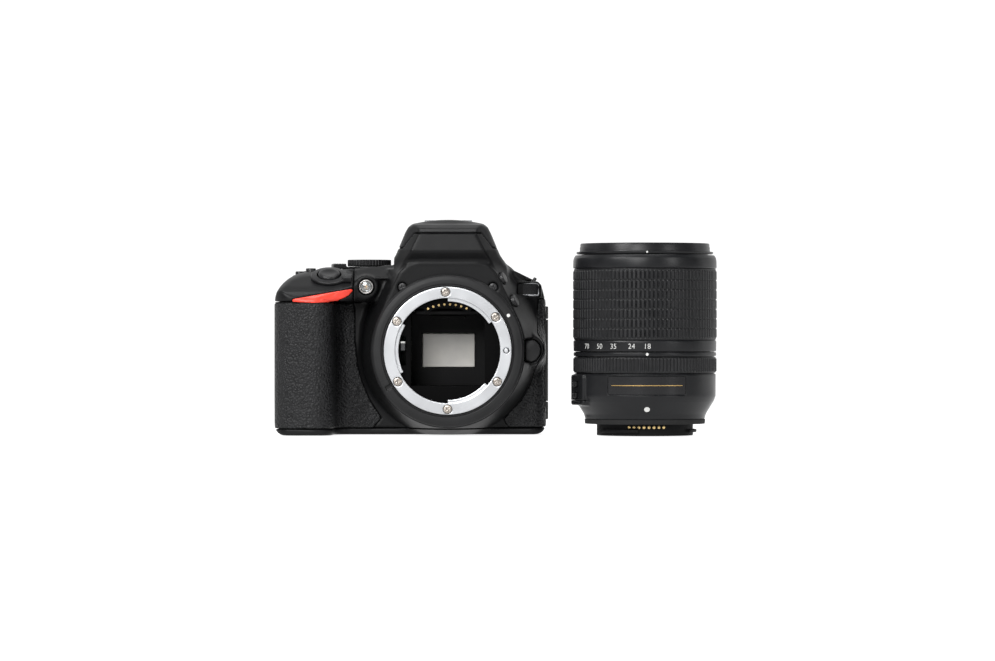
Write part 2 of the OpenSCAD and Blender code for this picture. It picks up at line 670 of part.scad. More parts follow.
module lens_barrel() color("#1b1c1e") on_lens() difference() {
    union() {
        rotate_extrude() polygon([[20, flange_z + 1.55], [26.6, flange_z + 1.55], [27.2, 8], [31, 14.8],
            [31.8, 17.4], [31.8, focus_z[0] - 0.3], [29.3, focus_z[0] - 0.3], [29.3, focus_z[1] + 0.3],
            [32, focus_z[1] + 0.3], [32, zoom_z - 0.3], [29.3, zoom_z - 0.3], [29.3, 79],
            [28.5, 79], [28.5, 16], [24, 10], [20, 10]]);
        on_panel() block([31, -8, 13.5], [33, 8, focus_z[0] - 0.9]);
    }
    on_panel() for (z = switch_z) block([31.9, -3, z - 1.3], [36, 3, z + 1.3]);
}

module lens_switch(z) on_lens() on_panel() {
    block([31.95, -2.8, z - 1.1], [33.3, 0.8, z + 1.1]);
    block([33.2, -2.4, z - 0.8], [34, 0.4, z + 0.8]);
}
module focus_mode_switch() color("#2c2d30") lens_switch(switch_z[1]);
module stabiliser_switch() color("#2c2d30") lens_switch(switch_z[0]);

module grip_ring(r_in, r_out, z0, z1, n, depth) difference() {
    tube(r_out, r_in, z0, z1);
    for (i = [0 : n - 1]) rotate([0, 0, i * 360 / n]) translate([r_out + 0.4, 0, z0 + 0.8])
        cylinder(r = 0.4 + depth, h = z1 - z0 - 1.6, $fn = 4);
}

module focus_ring() color("#202124") on_lens() grip_ring(29.4, 32.2, focus_z[0], focus_z[1], 60, 0.4);

module zoom_ring() color("#1b1c1e") on_lens() rotate_extrude() polygon([[29.4, zoom_z], [31.8, zoom_z],
    [32, zoom_z + 0.7], [32, grip_z[0] - 0.1], [31.4, grip_z[0] - 0.1], [31.4, grip_z[1] + 0.1],
    [32.2, grip_z[1] + 0.1], [32, 79], [30.9, 80.7], [29.4, 80.7]]);

module zoom_grip() color("#26272a") on_lens() grip_ring(31.45, lens_r, grip_z[0], grip_z[1], 60, 0.4);

module inner_barrel() color("#151618") on_lens() rotate_extrude() polygon([[26, 36], [28.4, 36],
    [28.4, 81.2], [30.7, 81.2], [30.7, 82.4], [29.2, 82.4], [29.2, 84.4], [28.9, flange_z + lens_len],
    [27.5, flange_z + lens_len], [27.5, 82.6], [24.6, 81], [24.6, 76], [26, 76]]);

module front_element() color("#aab4bd") on_lens() rotate_extrude() polygon(concat([[0, 76], [24.4, 76],
    [24.4, 77.6]], [for (i = [1 : 8]) let (r = 24.4 * (1 - i / 8)) [r, 77.6 + 3.6 * (1 - pow(r / 24.4, 2))]]));

module rear_element() color("#8fa0aa") on_lens() {
    tube(17.9, 12.4, 1.8, 8);
    translate([0, 0, 3.6]) cylinder(r = 12.4, h = 3);
}

front_cover();
top_cover();
rear_cover();
bottom_cover();
grip_rubber();
side_rubber();
thumb_rubber();
grip_accent();
assist_lamp();
mount_collar();
mount_ring();
screws();
mirror_box();
contact_pins();
shutter_frame();
image_sensor();
circuit_boards();
battery();
memory_card();
focusing_screen();
pentamirror();
eyepiece_lens();
eyecup();
hot_shoe();
strap_lugs();
tripod_socket();
reflex_mirror();
sub_mirror();
shutter_curtain();
aperture_lever();
lens_lock_pin();
lens_release_button();
flash_button();
function_button();
shutter_button();
power_switch();
mode_dial();
live_view_lever();
record_button();
exposure_button();
command_dial();
flash_head();
monitor_housing();
monitor_screen();
multi_selector();
ok_button();
playback_button();
battery_door();
card_door();
socket_cover();
lens_bayonet();
lens_barrel();
focus_ring();
zoom_ring();
zoom_grip();
inner_barrel();
front_element();
rear_element();
focus_mode_switch();
stabiliser_switch();
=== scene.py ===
"""Looks of the reflex camera and its zoom lens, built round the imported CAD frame.

Lengths are in mm until a mesh is made. The camera looks along -Y, with the lens axis at X = 0.
"""
import math
from functools import partial

import bpy
import numpy as np
import openvdb as vdb
from mathutils import Matrix, Vector


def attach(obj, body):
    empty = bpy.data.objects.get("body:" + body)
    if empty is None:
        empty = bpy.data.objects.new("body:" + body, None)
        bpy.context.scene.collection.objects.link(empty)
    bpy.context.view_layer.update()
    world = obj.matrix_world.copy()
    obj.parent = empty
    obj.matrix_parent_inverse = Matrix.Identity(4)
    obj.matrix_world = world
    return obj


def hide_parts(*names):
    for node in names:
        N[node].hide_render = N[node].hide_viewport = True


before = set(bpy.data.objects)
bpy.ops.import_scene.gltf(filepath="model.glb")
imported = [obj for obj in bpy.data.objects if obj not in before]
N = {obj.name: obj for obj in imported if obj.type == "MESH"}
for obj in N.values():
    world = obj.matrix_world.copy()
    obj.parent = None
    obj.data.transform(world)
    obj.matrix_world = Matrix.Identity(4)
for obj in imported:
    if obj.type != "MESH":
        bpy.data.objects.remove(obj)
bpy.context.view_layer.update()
scene = bpy.context.scene
CLEAR = 0.12          # half of a seam between two covers

# ---------------------------------------------------------------- materials


def material(name, color, rough=0.5, metal=0.0, spec=0.5, coat=0.0, grain=(2600, 0.2, 0.04), cells=None,
             mottle=0.0, rough_var=0.0, transmission=0.0, ior=1.45, aniso=0.0, tint=None, mottle_scale=90.0):
    """A procedural material. grain and cells are bumps: scale per metre, strength, height in mm."""
    m = bpy.data.materials.new(name)
    m.use_nodes = True
    t = m.node_tree
    b = t.nodes["Principled BSDF"]
    b.inputs["Base Color"].default_value = (*color, 1)
    b.inputs["Roughness"].default_value = rough
    b.inputs["Metallic"].default_value = metal
    b.inputs["Specular IOR Level"].default_value = spec
    b.inputs["Coat Weight"].default_value = coat
    b.inputs["Coat Roughness"].default_value = 0.08
    b.inputs["Transmission Weight"].default_value = transmission
    b.inputs["IOR"].default_value = ior
    b.inputs["Anisotropic"].default_value = aniso
    where = t.nodes.new("ShaderNodeTexCoord")
    if mottle or rough_var:
        n = t.nodes.new("ShaderNodeTexNoise")
        n.inputs["Scale"].default_value = mottle_scale
        n.inputs["Detail"].default_value = 5
        t.links.new(where.outputs["Object"], n.inputs["Vector"])
        if mottle:
            ramp = t.nodes.new("ShaderNodeValToRGB")
            lo = [max(0, c * (1 - mottle)) for c in color]
            hi = list(tint) if tint else [min(1, c * (1 + mottle)) for c in color]
            ramp.color_ramp.elements[0].position = 0.3
            ramp.color_ramp.elements[1].position = 0.7
            ramp.color_ramp.elements[0].color = (*lo, 1)
            ramp.color_ramp.elements[1].color = (*hi, 1)
            t.links.new(n.outputs["Fac"], ramp.inputs["Fac"])
            t.links.new(ramp.outputs["Color"], b.inputs["Base Color"])
        if rough_var:
            r = t.nodes.new("ShaderNodeMapRange")
            r.inputs["From Min"].default_value = 0.3
            r.inputs["From Max"].default_value = 0.7
            r.inputs["To Min"].default_value = max(0.02, rough - rough_var)
            r.inputs["To Max"].default_value = min(1, rough + rough_var)
            t.links.new(n.outputs["Fac"], r.inputs["Value"])
            t.links.new(r.outputs["Result"], b.inputs["Roughness"])
    last = None
    for kind, relief in (("Voronoi", cells), ("Noise", grain)):
        if not relief:
            continue
        scale, strength, height = relief
        tex = t.nodes.new("ShaderNodeTex" + kind)
        tex.inputs["Scale"].default_value = scale
        t.links.new(where.outputs["Object"], tex.inputs["Vector"])
        bump = t.nodes.new("ShaderNodeBump")
        bump.inputs["Strength"].default_value = strength
        bump.inputs["Distance"].default_value = height / 1000
        if relief is cells:
            tex.feature = "SMOOTH_F1"
            tex.inputs["Smoothness"].default_value = 0.35
            bump.invert = True
            t.links.new(tex.outputs["Distance"], bump.inputs["Height"])
        else:
            tex.inputs["Detail"].default_value = 3
            t.links.new(tex.outputs["Fac"], bump.inputs["Height"])
        if last:
            t.links.new(last.outputs["Normal"], bump.inputs["Normal"])
        last = bump
    t.links.new(last.outputs["Normal"], b.inputs["Normal"])
    return m


M = {
    "cover": material("cover_black", (0.00475, 0.00482, 0.00518), 0.42, spec=0.16, mottle=0.12,
                      rough_var=0.05, grain=(2600, 0.35, 0.05)),
    "tower": material("cover_black_fine", (0.00392, 0.00399, 0.00427), 0.4, spec=0.14, mottle=0.12,
                      rough_var=0.05, grain=(2600, 0.3, 0.05)),
    "leather": material("leatherette", (0.00723, 0.00739, 0.0079), 0.44, spec=0.22, mottle=0.35,
                        rough_var=0.08, mottle_scale=420, cells=(1000, 1.0, 0.5), grain=(2200, 0.5, 0.2)),
    "accent": material("accent_red", (0.454, 0.0347, 0.0202), 0.32, spec=0.32, mottle=0.08,
                       rough_var=0.04, tint=(0.8, 0.05, 0.03), grain=(2200, 0.08, 0.03)),
    "chrome": material("lamp_bezel", (0.28, 0.273, 0.266), 0.26, metal=1, mottle=0.15, rough_var=0.08,
                       grain=(1500, 0.06, 0.03)),
    "amber": material("lamp_amber", (0.595, 0.252, 0.042), 0.18, spec=0.6, coat=0.6, mottle=0.2,
                      mottle_scale=700, grain=(1500, 0.1, 0.05)),
    "collar": material("collar_black", (0.0096, 0.00968, 0.0101), 0.42, spec=0.2, mottle=0.12,
                       rough_var=0.06, grain=(3200, 0.22, 0.04)),
    "steel": material("mount_steel", (0.442, 0.45, 0.463), 0.36, metal=0.88, mottle=0.04, rough_var=0.05,
                      mottle_scale=60, aniso=0.35, grain=(3000, 0.06, 0.03)),
    "screw": material("screw_steel", (0.294, 0.266, 0.238), 0.34, metal=0.95, mottle=0.3, rough_var=0.12,
                      mottle_scale=900, grain=(2600, 0.15, 0.05)),
    "screw_dark": material("screw_black", (0.02, 0.02, 0.021), 0.35, metal=0.4, mottle=0.3, rough_var=0.1,
                           mottle_scale=900, grain=(2600, 0.15, 0.05)),
    "flock": material("flocked_black", (0.00147, 0.00147, 0.00155), 0.88, spec=0.06, mottle=0.3,
                      rough_var=0.06, mottle_scale=700, grain=(3500, 0.5, 0.06)),
    "inner": material("box_black", (0.00324, 0.00324, 0.00342), 0.6, spec=0.1, mottle=0.2, rough_var=0.08,
                      mottle_scale=300, grain=(2500, 0.25, 0.05)),
    "gold": material("contact_gold", (0.595, 0.434, 0.196), 0.25, metal=1, mottle=0.1, rough_var=0.06,
                     grain=(2600, 0.08, 0.03)),
    "sensor": material("sensor_glass", (0.512, 0.501, 0.479), 0.4, spec=0.5, coat=0.25, mottle=0.05,
                       rough_var=0.03, mottle_scale=30, tint=(0.86, 0.83, 0.77),
                       grain=(1800, 0.03, 0.02)),
    "ceramic": material("sensor_package", (0.0225, 0.022, 0.0213), 0.5, mottle=0.2, rough_var=0.05),
    "board": material("board_green", (0.012, 0.085, 0.04), 0.36, coat=0.3, mottle=0.35, rough_var=0.05,
                      mottle_scale=500, grain=(900, 0.25, 0.08)),
    "battery": material("battery_grey", (0.05, 0.052, 0.056), 0.5, mottle=0.15, rough_var=0.06,
                        grain=(2600, 0.3, 0.05)),
    "card": material("card_blue", (0.012, 0.03, 0.12), 0.42, mottle=0.15, rough_var=0.05),
    "clear": material("clear_glass", (0.75, 0.8, 0.82), 0.06, transmission=0.9, ior=1.5, coat=0.4,
                      mottle=0.04, rough_var=0.02, grain=(300, 0.02, 0.02)),
    "silvered": material("pentamirror_silver", (0.5, 0.52, 0.55), 0.2, metal=0.9, mottle=0.08,
                         rough_var=0.05, grain=(900, 0.06, 0.04)),
    "rubber": material("eyecup_rubber", (0.012, 0.012, 0.012), 0.68, spec=0.16, mottle=0.25,
                       rough_var=0.08, mottle_scale=300, grain=(2600, 0.4, 0.05)),
    "door_rubber": material("socket_rubber", (0.016, 0.016, 0.0165), 0.62, spec=0.16, mottle=0.2,
                            rough_var=0.08, mottle_scale=300, grain=(2600, 0.35, 0.05)),
    "shoe": material("shoe_steel", (0.252, 0.258, 0.264), 0.32, metal=1, mottle=0.1, rough_var=0.08,
                     aniso=0.3, grain=(2200, 0.1, 0.04)),
    "mirror": material("mirror_silver", (0.82, 0.84, 0.86), 0.05, metal=1, mottle=0.03, rough_var=0.02,
                       grain=(200, 0.02, 0.02)),
    "shutter": material("shutter_black", (0.0036, 0.0036, 0.004), 0.5, spec=0.12, mottle=0.2,
                        rough_var=0.06, grain=(2000, 0.2, 0.05)),
    "lever": material("lever_white", (0.33, 0.33, 0.318), 0.4, mottle=0.12, rough_var=0.08),
    "rim": material("badge_rim", (0.22, 0.224, 0.233), 0.3, metal=0.6, mottle=0.15, rough_var=0.06,
                    grain=(2200, 0.1, 0.04)),
    "lug": material("lug_black", (0.03, 0.03, 0.031), 0.35, metal=0.6, mottle=0.25, rough_var=0.1,
                    grain=(2200, 0.12, 0.04)),
    "lever_dark": material("lever_black", (0.02, 0.02, 0.021), 0.4, metal=0.3, mottle=0.2,
                           rough_var=0.08),
    "button": material("button_black", (0.009, 0.009, 0.0096), 0.3, spec=0.26, mottle=0.14,
                       rough_var=0.05, grain=(3000, 0.18, 0.04)),
    "screen": material("screen_glass", (0.004, 0.004, 0.006), 0.08, spec=0.6, coat=0.8, mottle=0.3,
                       rough_var=0.02, grain=(200, 0.01, 0.02)),
    "barrel": material("barrel_black", (0.00612, 0.00637, 0.00714), 0.34, spec=0.24, mottle=0.14,
                       rough_var=0.05, grain=(3200, 0.26, 0.045)),
    "ring_rubber": material("ring_rubber", (0.00663, 0.0068, 0.00748), 0.42, spec=0.24, mottle=0.2,
                            rough_var=0.06, mottle_scale=300, grain=(2600, 0.3, 0.05)),
    "glass": material("front_glass", (0.09, 0.1, 0.12), 0.03, spec=0.9, coat=1.0, ior=1.6,
                      transmission=0.25, mottle=0.25, tint=(0.16, 0.14, 0.2), mottle_scale=30,
                      grain=(60, 0.01, 0.02)),
    "white": material("marking_white", (0.468, 0.468, 0.456), 0.5, mottle=0.04, rough_var=0.05,
                      grain=(2600, 0.1, 0.03)),
    "plate": material("plate_black", (0.008, 0.008, 0.0088), 0.2, spec=0.25, coat=0.2, mottle=0.1,
                      rough_var=0.04, grain=(2600, 0.08, 0.03)),
    "goldline": material("marking_gold", (0.434, 0.28, 0.098), 0.35, metal=0.7, mottle=0.1,
                         rough_var=0.06, grain=(2600, 0.1, 0.03)),
}

def put(o, mat, body, slot, *replaces):
    o.data.materials.clear()
    o.data.materials.append(M[mat])
    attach(o, body)
    if replaces:
        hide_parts(*replaces)
    return o


def mesh_object(name, verts, faces, smooth=True, flat_angle=None):
    """verts in mm. faces is a list of tuples, or an (n, 4) or (n, 3) array."""
    m = bpy.data.meshes.new(name)
    v = np.asarray(verts, np.float32) / 1000
    if isinstance(faces, np.ndarray):
        n, k = faces.shape
        m.vertices.add(len(v))
        m.vertices.foreach_set("co", v.ravel())
        m.loops.add(n * k)
        m.loops.foreach_set("vertex_index", faces.ravel().astype(np.int32))
        m.polygons.add(n)
        m.polygons.foreach_set("loop_start", np.arange(0, n * k, k, dtype=np.int32))
        m.update(calc_edges=True)
        m.validate()
    else:
        m.from_pydata(v.tolist(), [], faces)
        m.update()
    m.polygons.foreach_set("use_smooth",
                           np.ones(len(m.polygons), bool) if smooth else np.zeros(len(m.polygons), bool))
    o = bpy.data.objects.new(name, m)
    scene.collection.objects.link(o)
    if flat_angle is not None:
        m.set_sharp_from_angle(angle=math.radians(flat_angle))
    return o


def place(o, matrix):
    """Moves a mesh's points by a matrix whose translation is in mm."""
    mm = Matrix(matrix).copy()
    mm.translation = mm.translation / 1000
    o.data.transform(mm)
    o.data.update()
    return o


# ---------------------------------------------------------------- distance fields


def arc(cx, cy, r, a0, a1, n):
    a = np.radians(np.linspace(a0, a1, n + 1))
    return [(cx + r * math.cos(x), cy + r * math.sin(x)) for x in a]


def soften(points, step=2.5, rounds=2):
    """Resamples a closed outline and rounds its corners by cutting them."""
    p = np.array(points, float)
    out = []
    for a, b in zip(p, np.roll(p, -1, 0)):
        n = max(1, int(math.ceil(np.linalg.norm(b - a) / step)))
        out += [a + (b - a) * i / n for i in range(n)]
    p = np.array(out)
    for _ in range(rounds):
        q = np.roll(p, -1, 0)
        p = np.stack([p * 0.75 + q * 0.25, p * 0.25 + q * 0.75], 1).reshape(-1, 2)
    return p


def poly_sdf(points, u, v):
    """Signed distance to a closed polygon over broadcastable u and v, negative inside."""
    p = np.array(points, float)
    u, v = np.broadcast_arrays(u, v)
    shape = u.shape
    u = u.ravel().astype(np.float32)
    v = v.ravel().astype(np.float32)
    d = np.full(u.shape, 1e9, np.float32)
    inside = np.zeros(u.shape, bool)
    for (ax, ay), (bx, by) in zip(p, np.roll(p, -1, 0)):
        ex, ey = bx - ax, by - ay
        l2 = ex * ex + ey * ey
        if l2 < 1e-9:
            continue
        wu, wv = u - ax, v - ay
        t = np.clip((wu * ex + wv * ey) / l2, 0, 1)
        d = np.minimum(d, (wu - ex * t) ** 2 + (wv - ey * t) ** 2)
        if ay != by:
            cross = ((ay > v) != (by > v)) & (u < ex * (v - ay) / (by - ay) + ax)
            inside ^= cross
    d = np.sqrt(d)
    return np.where(inside, -d, d).reshape(shape)


def both(a, b, r=0.0):
    """Where both are solid, with the edge rounded to radius r."""
    if r <= 0:
        return np.maximum(a, b)
    return np.minimum(-r, np.maximum(a, b)) + np.sqrt(np.maximum(a + r, 0) ** 2 + np.maximum(b + r, 0) ** 2)


def either(a, b, r=0.0):
    if r <= 0:
        return np.minimum(a, b)
    return np.maximum(r, np.minimum(a, b)) - np.sqrt(np.maximum(r - a, 0) ** 2 + np.maximum(r - b, 0) ** 2)


def less(a, b, r=0.0):
    return both(a, -b, r)


def box_sdf(g, lo, hi, r=0.0):
    x, y, z = g
    qx = np.abs(x - (lo[0] + hi[0]) / 2) - (hi[0] - lo[0]) / 2 + r
    qy = np.abs(y - (lo[1] + hi[1]) / 2) - (hi[1] - lo[1]) / 2 + r
    qz = np.abs(z - (lo[2] + hi[2]) / 2) - (hi[2] - lo[2]) / 2 + r
    return (np.sqrt(np.maximum(qx, 0) ** 2 + np.maximum(qy, 0) ** 2 + np.maximum(qz, 0) ** 2)
            + np.minimum(np.maximum(qx, np.maximum(qy, qz)), 0) - r)


class Grid:
    """A block of sample points, in mm, as three broadcastable axes."""

    def __init__(self, lo, hi, h):
        self.lo = np.array(lo, float)
        self.h = h
        n = np.ceil((np.array(hi, float) - self.lo) / h).astype(int) + 1
        ax = [(self.lo[i] + np.arange(n[i]) * h).astype(np.float32) for i in range(3)]
        self.x = ax[0][:, None, None]
        self.y = ax[1][None, :, None]
        self.z = ax[2][None, None, :]
        self.n = n

    @property
    def g(self):
        return self.x, self.y, self.z

    def full(self, f):
        return np.ascontiguousarray(np.broadcast_to(f, tuple(self.n)).astype(np.float32))

    def mesh(self, name, f):
        f = self.full(f)
        big = 3 * self.h
        f = np.clip(f, -big, big)
        g = vdb.FloatGrid(big)
        g.copyFromArray(f)
        points, quads = g.convertToQuads(0.0)
        return mesh_object(name, np.array(points) * self.h + self.lo, np.array(quads, np.int64))


def rod(g, axis, at, r, a, b, edge=0.0):
    """A cylinder along an axis, between a and b, through at (the other two coordinates in order)."""
    u, v, w = {"x": (g[1], g[2], g[0]), "y": (g[0], g[2], g[1]), "z": (g[0], g[1], g[2])}[axis]
    d = np.sqrt((u - at[0]) ** 2 + (v - at[1]) ** 2) - r
    return both(d, np.maximum(a - w, w - b), edge)


def radius(g):
    """Distance from the axis through the first two coordinates."""
    return np.sqrt(g[0] ** 2 + g[1] ** 2)


def in_frame(g, origin, matrix):
    """Sample points in a tilted frame: matrix columns are its axes."""
    dx, dy, dz = g[0] - origin[0], g[1] - origin[1], g[2] - origin[2]
    return tuple(dx * matrix[0][i] + dy * matrix[1][i] + dz * matrix[2][i] for i in range(3))


def rot(axis, deg):
    return Matrix.Rotation(math.radians(deg), 3, axis)


def turned(axis, deg, at=(0, 0, 0)):
    """A turn about one axis and then a move."""
    m = Matrix.Rotation(math.radians(deg), 4, axis)
    m.translation = Vector(at)
    return m


# ---------------------------------------------------------------- the camera's outer form

END, SIDE, BACK, AXIS, FLANGE = -78.0, 44.5, 22.0, 38.0, -33.0
DECK, DECK_TILT = (-53.5, -18.0, 70.7), 27.0
POD, LAMP = (36.6, 38.0), (-36.7, 66.6)
SPLIT_Y, SPLIT_BASE, SPLIT_TOP, SPLIT_DECK, TOP = 4.0, 3.0, 69.5, 60.0, 74.8
DIAL, COMMAND, COMMAND_Z = (-36.0, 4.0), (-60.0, 15.0), 71.9
TOP_BUTTONS = [(-62.3, -3.5, 2.3, 75.2), (-67.5, 2.5, 2.1, 73.9)]
FLANK = rot("Z", -21) @ rot("Y", 90 - 23.4)
FLANK_BUTTONS = [(23.9, -24.7, 70.0), (29.1, -24.7, 60.0)]
TOWER_SCREWS = [(-20.3, 66.4), (20.3, 66.4)]
BASE_SCREWS = [(-40, -2), (30, 14), (-40, 16), (30, -3)]
STRAP_LUGS = [((-70.2, 9, 71.2), -35), ((39.2, 9, 70.2), 28)]
SELECTOR, PLAYBACK = (-56, 38), (-44, 62)

outline = soften(arc(END + 5, 5, 5, 180, 270, 5) + arc(SIDE - 5, 5, 5, 270, 360, 5)
                 + [(SIDE, 55), (44.0, 60.5), (42.6, 66), (39.8, 69.3), (34.6, 71.8), (29.2, 74.5),
                    (25.5, 76.3), (-26, 76.3), (-46, 75.2), (-57.5, 73.8)]
                 + arc(-62.6, 58.2, 15.4, 90, 180, 12))
plan_low = soften(arc(END + 5, BACK - 5, 5, 90, 180, 5) + arc(END + 10, -22, 10, 180, 250, 7) + [(-65, -32.8)]
                  + arc(-60.5, -24, 9, 265, 350, 7) + arc(-44, -15, 7, 170, 100, 6) + [(-36, -8), (37, -8)]
                  + arc(SIDE - 7, -1, 7, 270, 360, 6) + arc(SIDE - 2, BACK - 2, 2, 0, 90, 3))
plan_deck = soften(arc(END + 5, BACK - 5, 5, 90, 180, 5) + arc(END + 10, -22, 10, 180, 250, 7)
                   + [(-65, -32.8), (-58, -32.6), (-51, -30.6), (-44, -26.5), (-38, -22.5), (-28, -18),
                      (-20, -12), (20, -12), (37, -8)] + arc(SIDE - 7, -1, 7, 270, 360, 6)
                   + arc(SIDE - 2, BACK - 2, 2, 0, 90, 3))
side = soften([(-34, -12), (-34, 57.5), (-33, 60.5), (-30, 64.2), (-26, 66.7), (-8.2, 75.8), (-1, 79.5),
               (BACK, 82), (BACK, -12)], 2.5, 2)
tower_front = soften([(-13, 77.4), (13, 77.4), (18, 76.6), (21.7, 73), (27.3, 61), (32.4, 50)]
                     + arc(0, AXIS, 34.6, 12, -192, 40)
                     + [(-32.2, 50), (-27.3, 61), (-21.7, 73), (-18, 76.6)])
tower_rear = soften([(-14, 81), (14, 81), (22, 80), (28, 73), (36, 64), (40, 52), (43.3, 44), (43.6, 33)]
                    + arc(0, AXIS, 39.6, -14, -178, 40) + [(-38.5, 50), (-34, 64), (-27, 76), (-20, 80)])
hump_front = soften([(-29, 60), (29, 60), (29, 74.6), (26.3, 76.8), (23.4, 81), (19.2, 91), (18.0, 93.2),
                     (15.3, 94.9), (10, 95.3), (-10, 95.3), (-15.3, 94.9), (-18.0, 93.2), (-19.2, 91),
                     (-23.4, 81), (-26.3, 76.8), (-29, 74.6)], 2, 2)
hump_side = soften([(-22, 60), (-27.5, 76.9), (-33.2, 82.2), (-32.1, 90.2), (-29.6, 92.8), (-25, 94.5),
                    (-19, 95.3), (BACK - 4, 95.3), (BACK - 1, 93.5), (BACK, 90), (BACK, 60)], 1.5, 2)

H = 0.5           # grid step of the body
G = Grid((-80, -36, -1.5), (46.5, 24, 98), H)
x, y, z = G.g


def slab_over(plan, x, y, z):
    """The body's slab over the field of one plan outline."""
    return both(both(poly_sdf(outline, x, z), poly_sdf(side, y, z), 2.6), plan, 0.6)


def slab_field(x, y, z):
    """The slab with its recessed front below and the wider deck above."""
    bridge = both(poly_sdf(plan_deck, x, y), SPLIT_DECK - z, 2.4)
    return slab_over(np.minimum(poly_sdf(plan_low, x, y), bridge), x, y, z)


slab = slab_field(x, y, z)
t = np.clip((y + 29.5) / 21.5, 0, 1)
tower = both((1 - t) * poly_sdf(tower_front, x, z) + t * poly_sdf(tower_rear, x, z), -29.5 - y, 0.9)
tower = np.maximum(tower, y + 5)
half = np.interp(y, [-33.3, -30, -17, -4, 22], [16.2, 18.4, 26.5, 29, 29]).astype(np.float32)
taper = np.interp(y, [-33.3, -24, -10, -2], [0.62, 0.5, 0.2, 0]).astype(np.float32)
flank = (np.abs(x) - half + taper * np.maximum(z - 83, 0)) * 0.84
hump = both(both(poly_sdf(hump_front, x, z), flank, 1.4), poly_sdf(hump_side, y, z), 0.55)
pod = rod(G.g, "y", POD, 7.3, -19, -3, 1.4)
pod_ring = less(rod(G.g, "y", POD, 7.0, -19.5, -3, 0.5), rod(G.g, "y", POD, 5.6, -30, -18.6, 0.2))
eye = rod(G.g, "y", LAMP, 5.4, -23, -3, 1.3)
S = either(either(slab, tower, 2.2), hump, 2.2)
S = either(either(S, pod, 1.6), eye, 1.6)
S = either(S, pod_ring, 0.3)
S = np.maximum(S, -z)
S = less(S, np.maximum(np.maximum(-57.8 - x, x + 24.3), TOP - z), 0.3)
deck_g = in_frame(G.g, DECK, rot("X", DECK_TILT))
deck_r = radius(deck_g)
ridge = both(poly_sdf(soften([(-46, 70), (-46, 74.4), (-41, 75.2), (-30, 77.1), (-22, 77.6), (-22, 70)], 2,
                             1), x, z), y + 8, 0.4)
ridge = both(ridge, poly_sdf(side, y, z - 1.2), 1.2)
ridge = less(ridge, np.minimum(np.sqrt((x - DIAL[0]) ** 2 + (y - DIAL[1]) ** 2) - 14.2, deck_r - 12.2), 0.4)
S = either(S, ridge, 0.8)

# the name plate's bezel, with a sunk face
badge_out = both(poly_sdf(soften([(29.6, 61.9), (30.2, 69.4), (40.6, 69.2), (42.3, 67.4), (42, 61.9)], 2,
                                 1), x, z), np.maximum(y + 4, -16 - y), 0.3)
badge_in = both(poly_sdf(soften([(30.9, 63), (31.3, 68.4), (40.4, 68.2), (41, 63)], 2, 1), x, z),
                np.maximum(y, -20 - y), 0.2)
S = either(S, np.maximum(badge_out, slab - 1.0), 0.5)
S = less(S, np.maximum(badge_in, -(slab + 0.2)), 0.3)

SHELL = 2.2                          # wall of the covers
inner = S + SHELL

# openings in the covers, for the mount, the controls, the doors, the screws and the sockets
PORT = 90                            # above every opening in the top
holes = [np.maximum(radius((x, z - AXIS)) - 29.0, y + 25),
         np.maximum(np.maximum(radius((x - POD[0], z - POD[1])) - 5.35, (POD[0] - 2.4) - x), y + 2),
         np.maximum(radius((x - LAMP[0], z - LAMP[1])) - 3.5, np.maximum(-30 - y, y + 19.4)),
         np.maximum(deck_r - 5.3, np.abs(deck_g[2]) - 6),
         rod(G.g, "z", DIAL, 4.3, 66, PORT),
         rod(G.g, "z", COMMAND, 6.9, COMMAND_Z - 0.3, PORT),
         box_sdf(G.g, (COMMAND[0] - 6.9, COMMAND[1], COMMAND_Z - 0.3), (COMMAND[0] + 6.9, BACK + 2, PORT)),
         box_sdf(G.g, (-12.5, 10, 75.75), (12.5, 30, 92.25), 3.0),
         box_sdf(G.g, (-11, -5.2, 94), (11, 16.2, 100)),
         rod(G.g, "z", (0, 0), 6.1, -3, 8),
         box_sdf(G.g, (-75, -28, -2), (-55.4, 14.3, 8), 0.6),
         box_sdf(G.g, (-82, -2.2, 11.8), (-74.8, 16.5, 54.2), 0.6),
         box_sdf(G.g, (41.1, -3, 11.8), (60, 13.2, 56.2), 0.6),
         rod(G.g, "y", SELECTOR, 9.25, 18, 27),
         rod(G.g, "y", PLAYBACK, 2.65, 18, 27)]
holes += [rod(G.g, "z", c[:2], c[2] + 0.25, 66, PORT) for c in TOP_BUTTONS]
holes += [rod(G.g, "y", at, 2.2, -36, -27.6) for at in TOWER_SCREWS]
holes += [rod(G.g, "z", at, 2.1, -3, 1) for at in BASE_SCREWS]
for c in FLANK_BUTTONS:
    f = in_frame(G.g, c, FLANK)
    holes.append(np.maximum(radius(f) - 2.85, np.abs(f[2]) - 8))
for at, lean in STRAP_LUGS:
    f = in_frame(G.g, at, rot("Y", lean))
    holes.append(np.maximum(np.maximum(np.abs(f[0]) - 1.15, np.abs(f[1]) - 4.7), -f[2] - 2.4))
hole = holes[0]
for h in holes[1:]:
    hole = np.minimum(hole, h)
hole = G.full(hole)

flash_poly = [(-40, 90.6), (-28.3, 90.6), (-26, 84), (-6.2, 84), (-6.2, 100), (-40, 100)]
flash = poly_sdf(flash_poly, y, z)
deck_region = np.maximum(np.maximum(x + 30.5, SPLIT_DECK - z), np.minimum(x + 42.4, -8 - y))
top_region = np.minimum(deck_region, np.maximum(np.maximum(-8 - y, SPLIT_TOP - z), -30.6 - x))
flash_cut = np.maximum(flash, np.maximum(hump - 0.5, 83 - z))

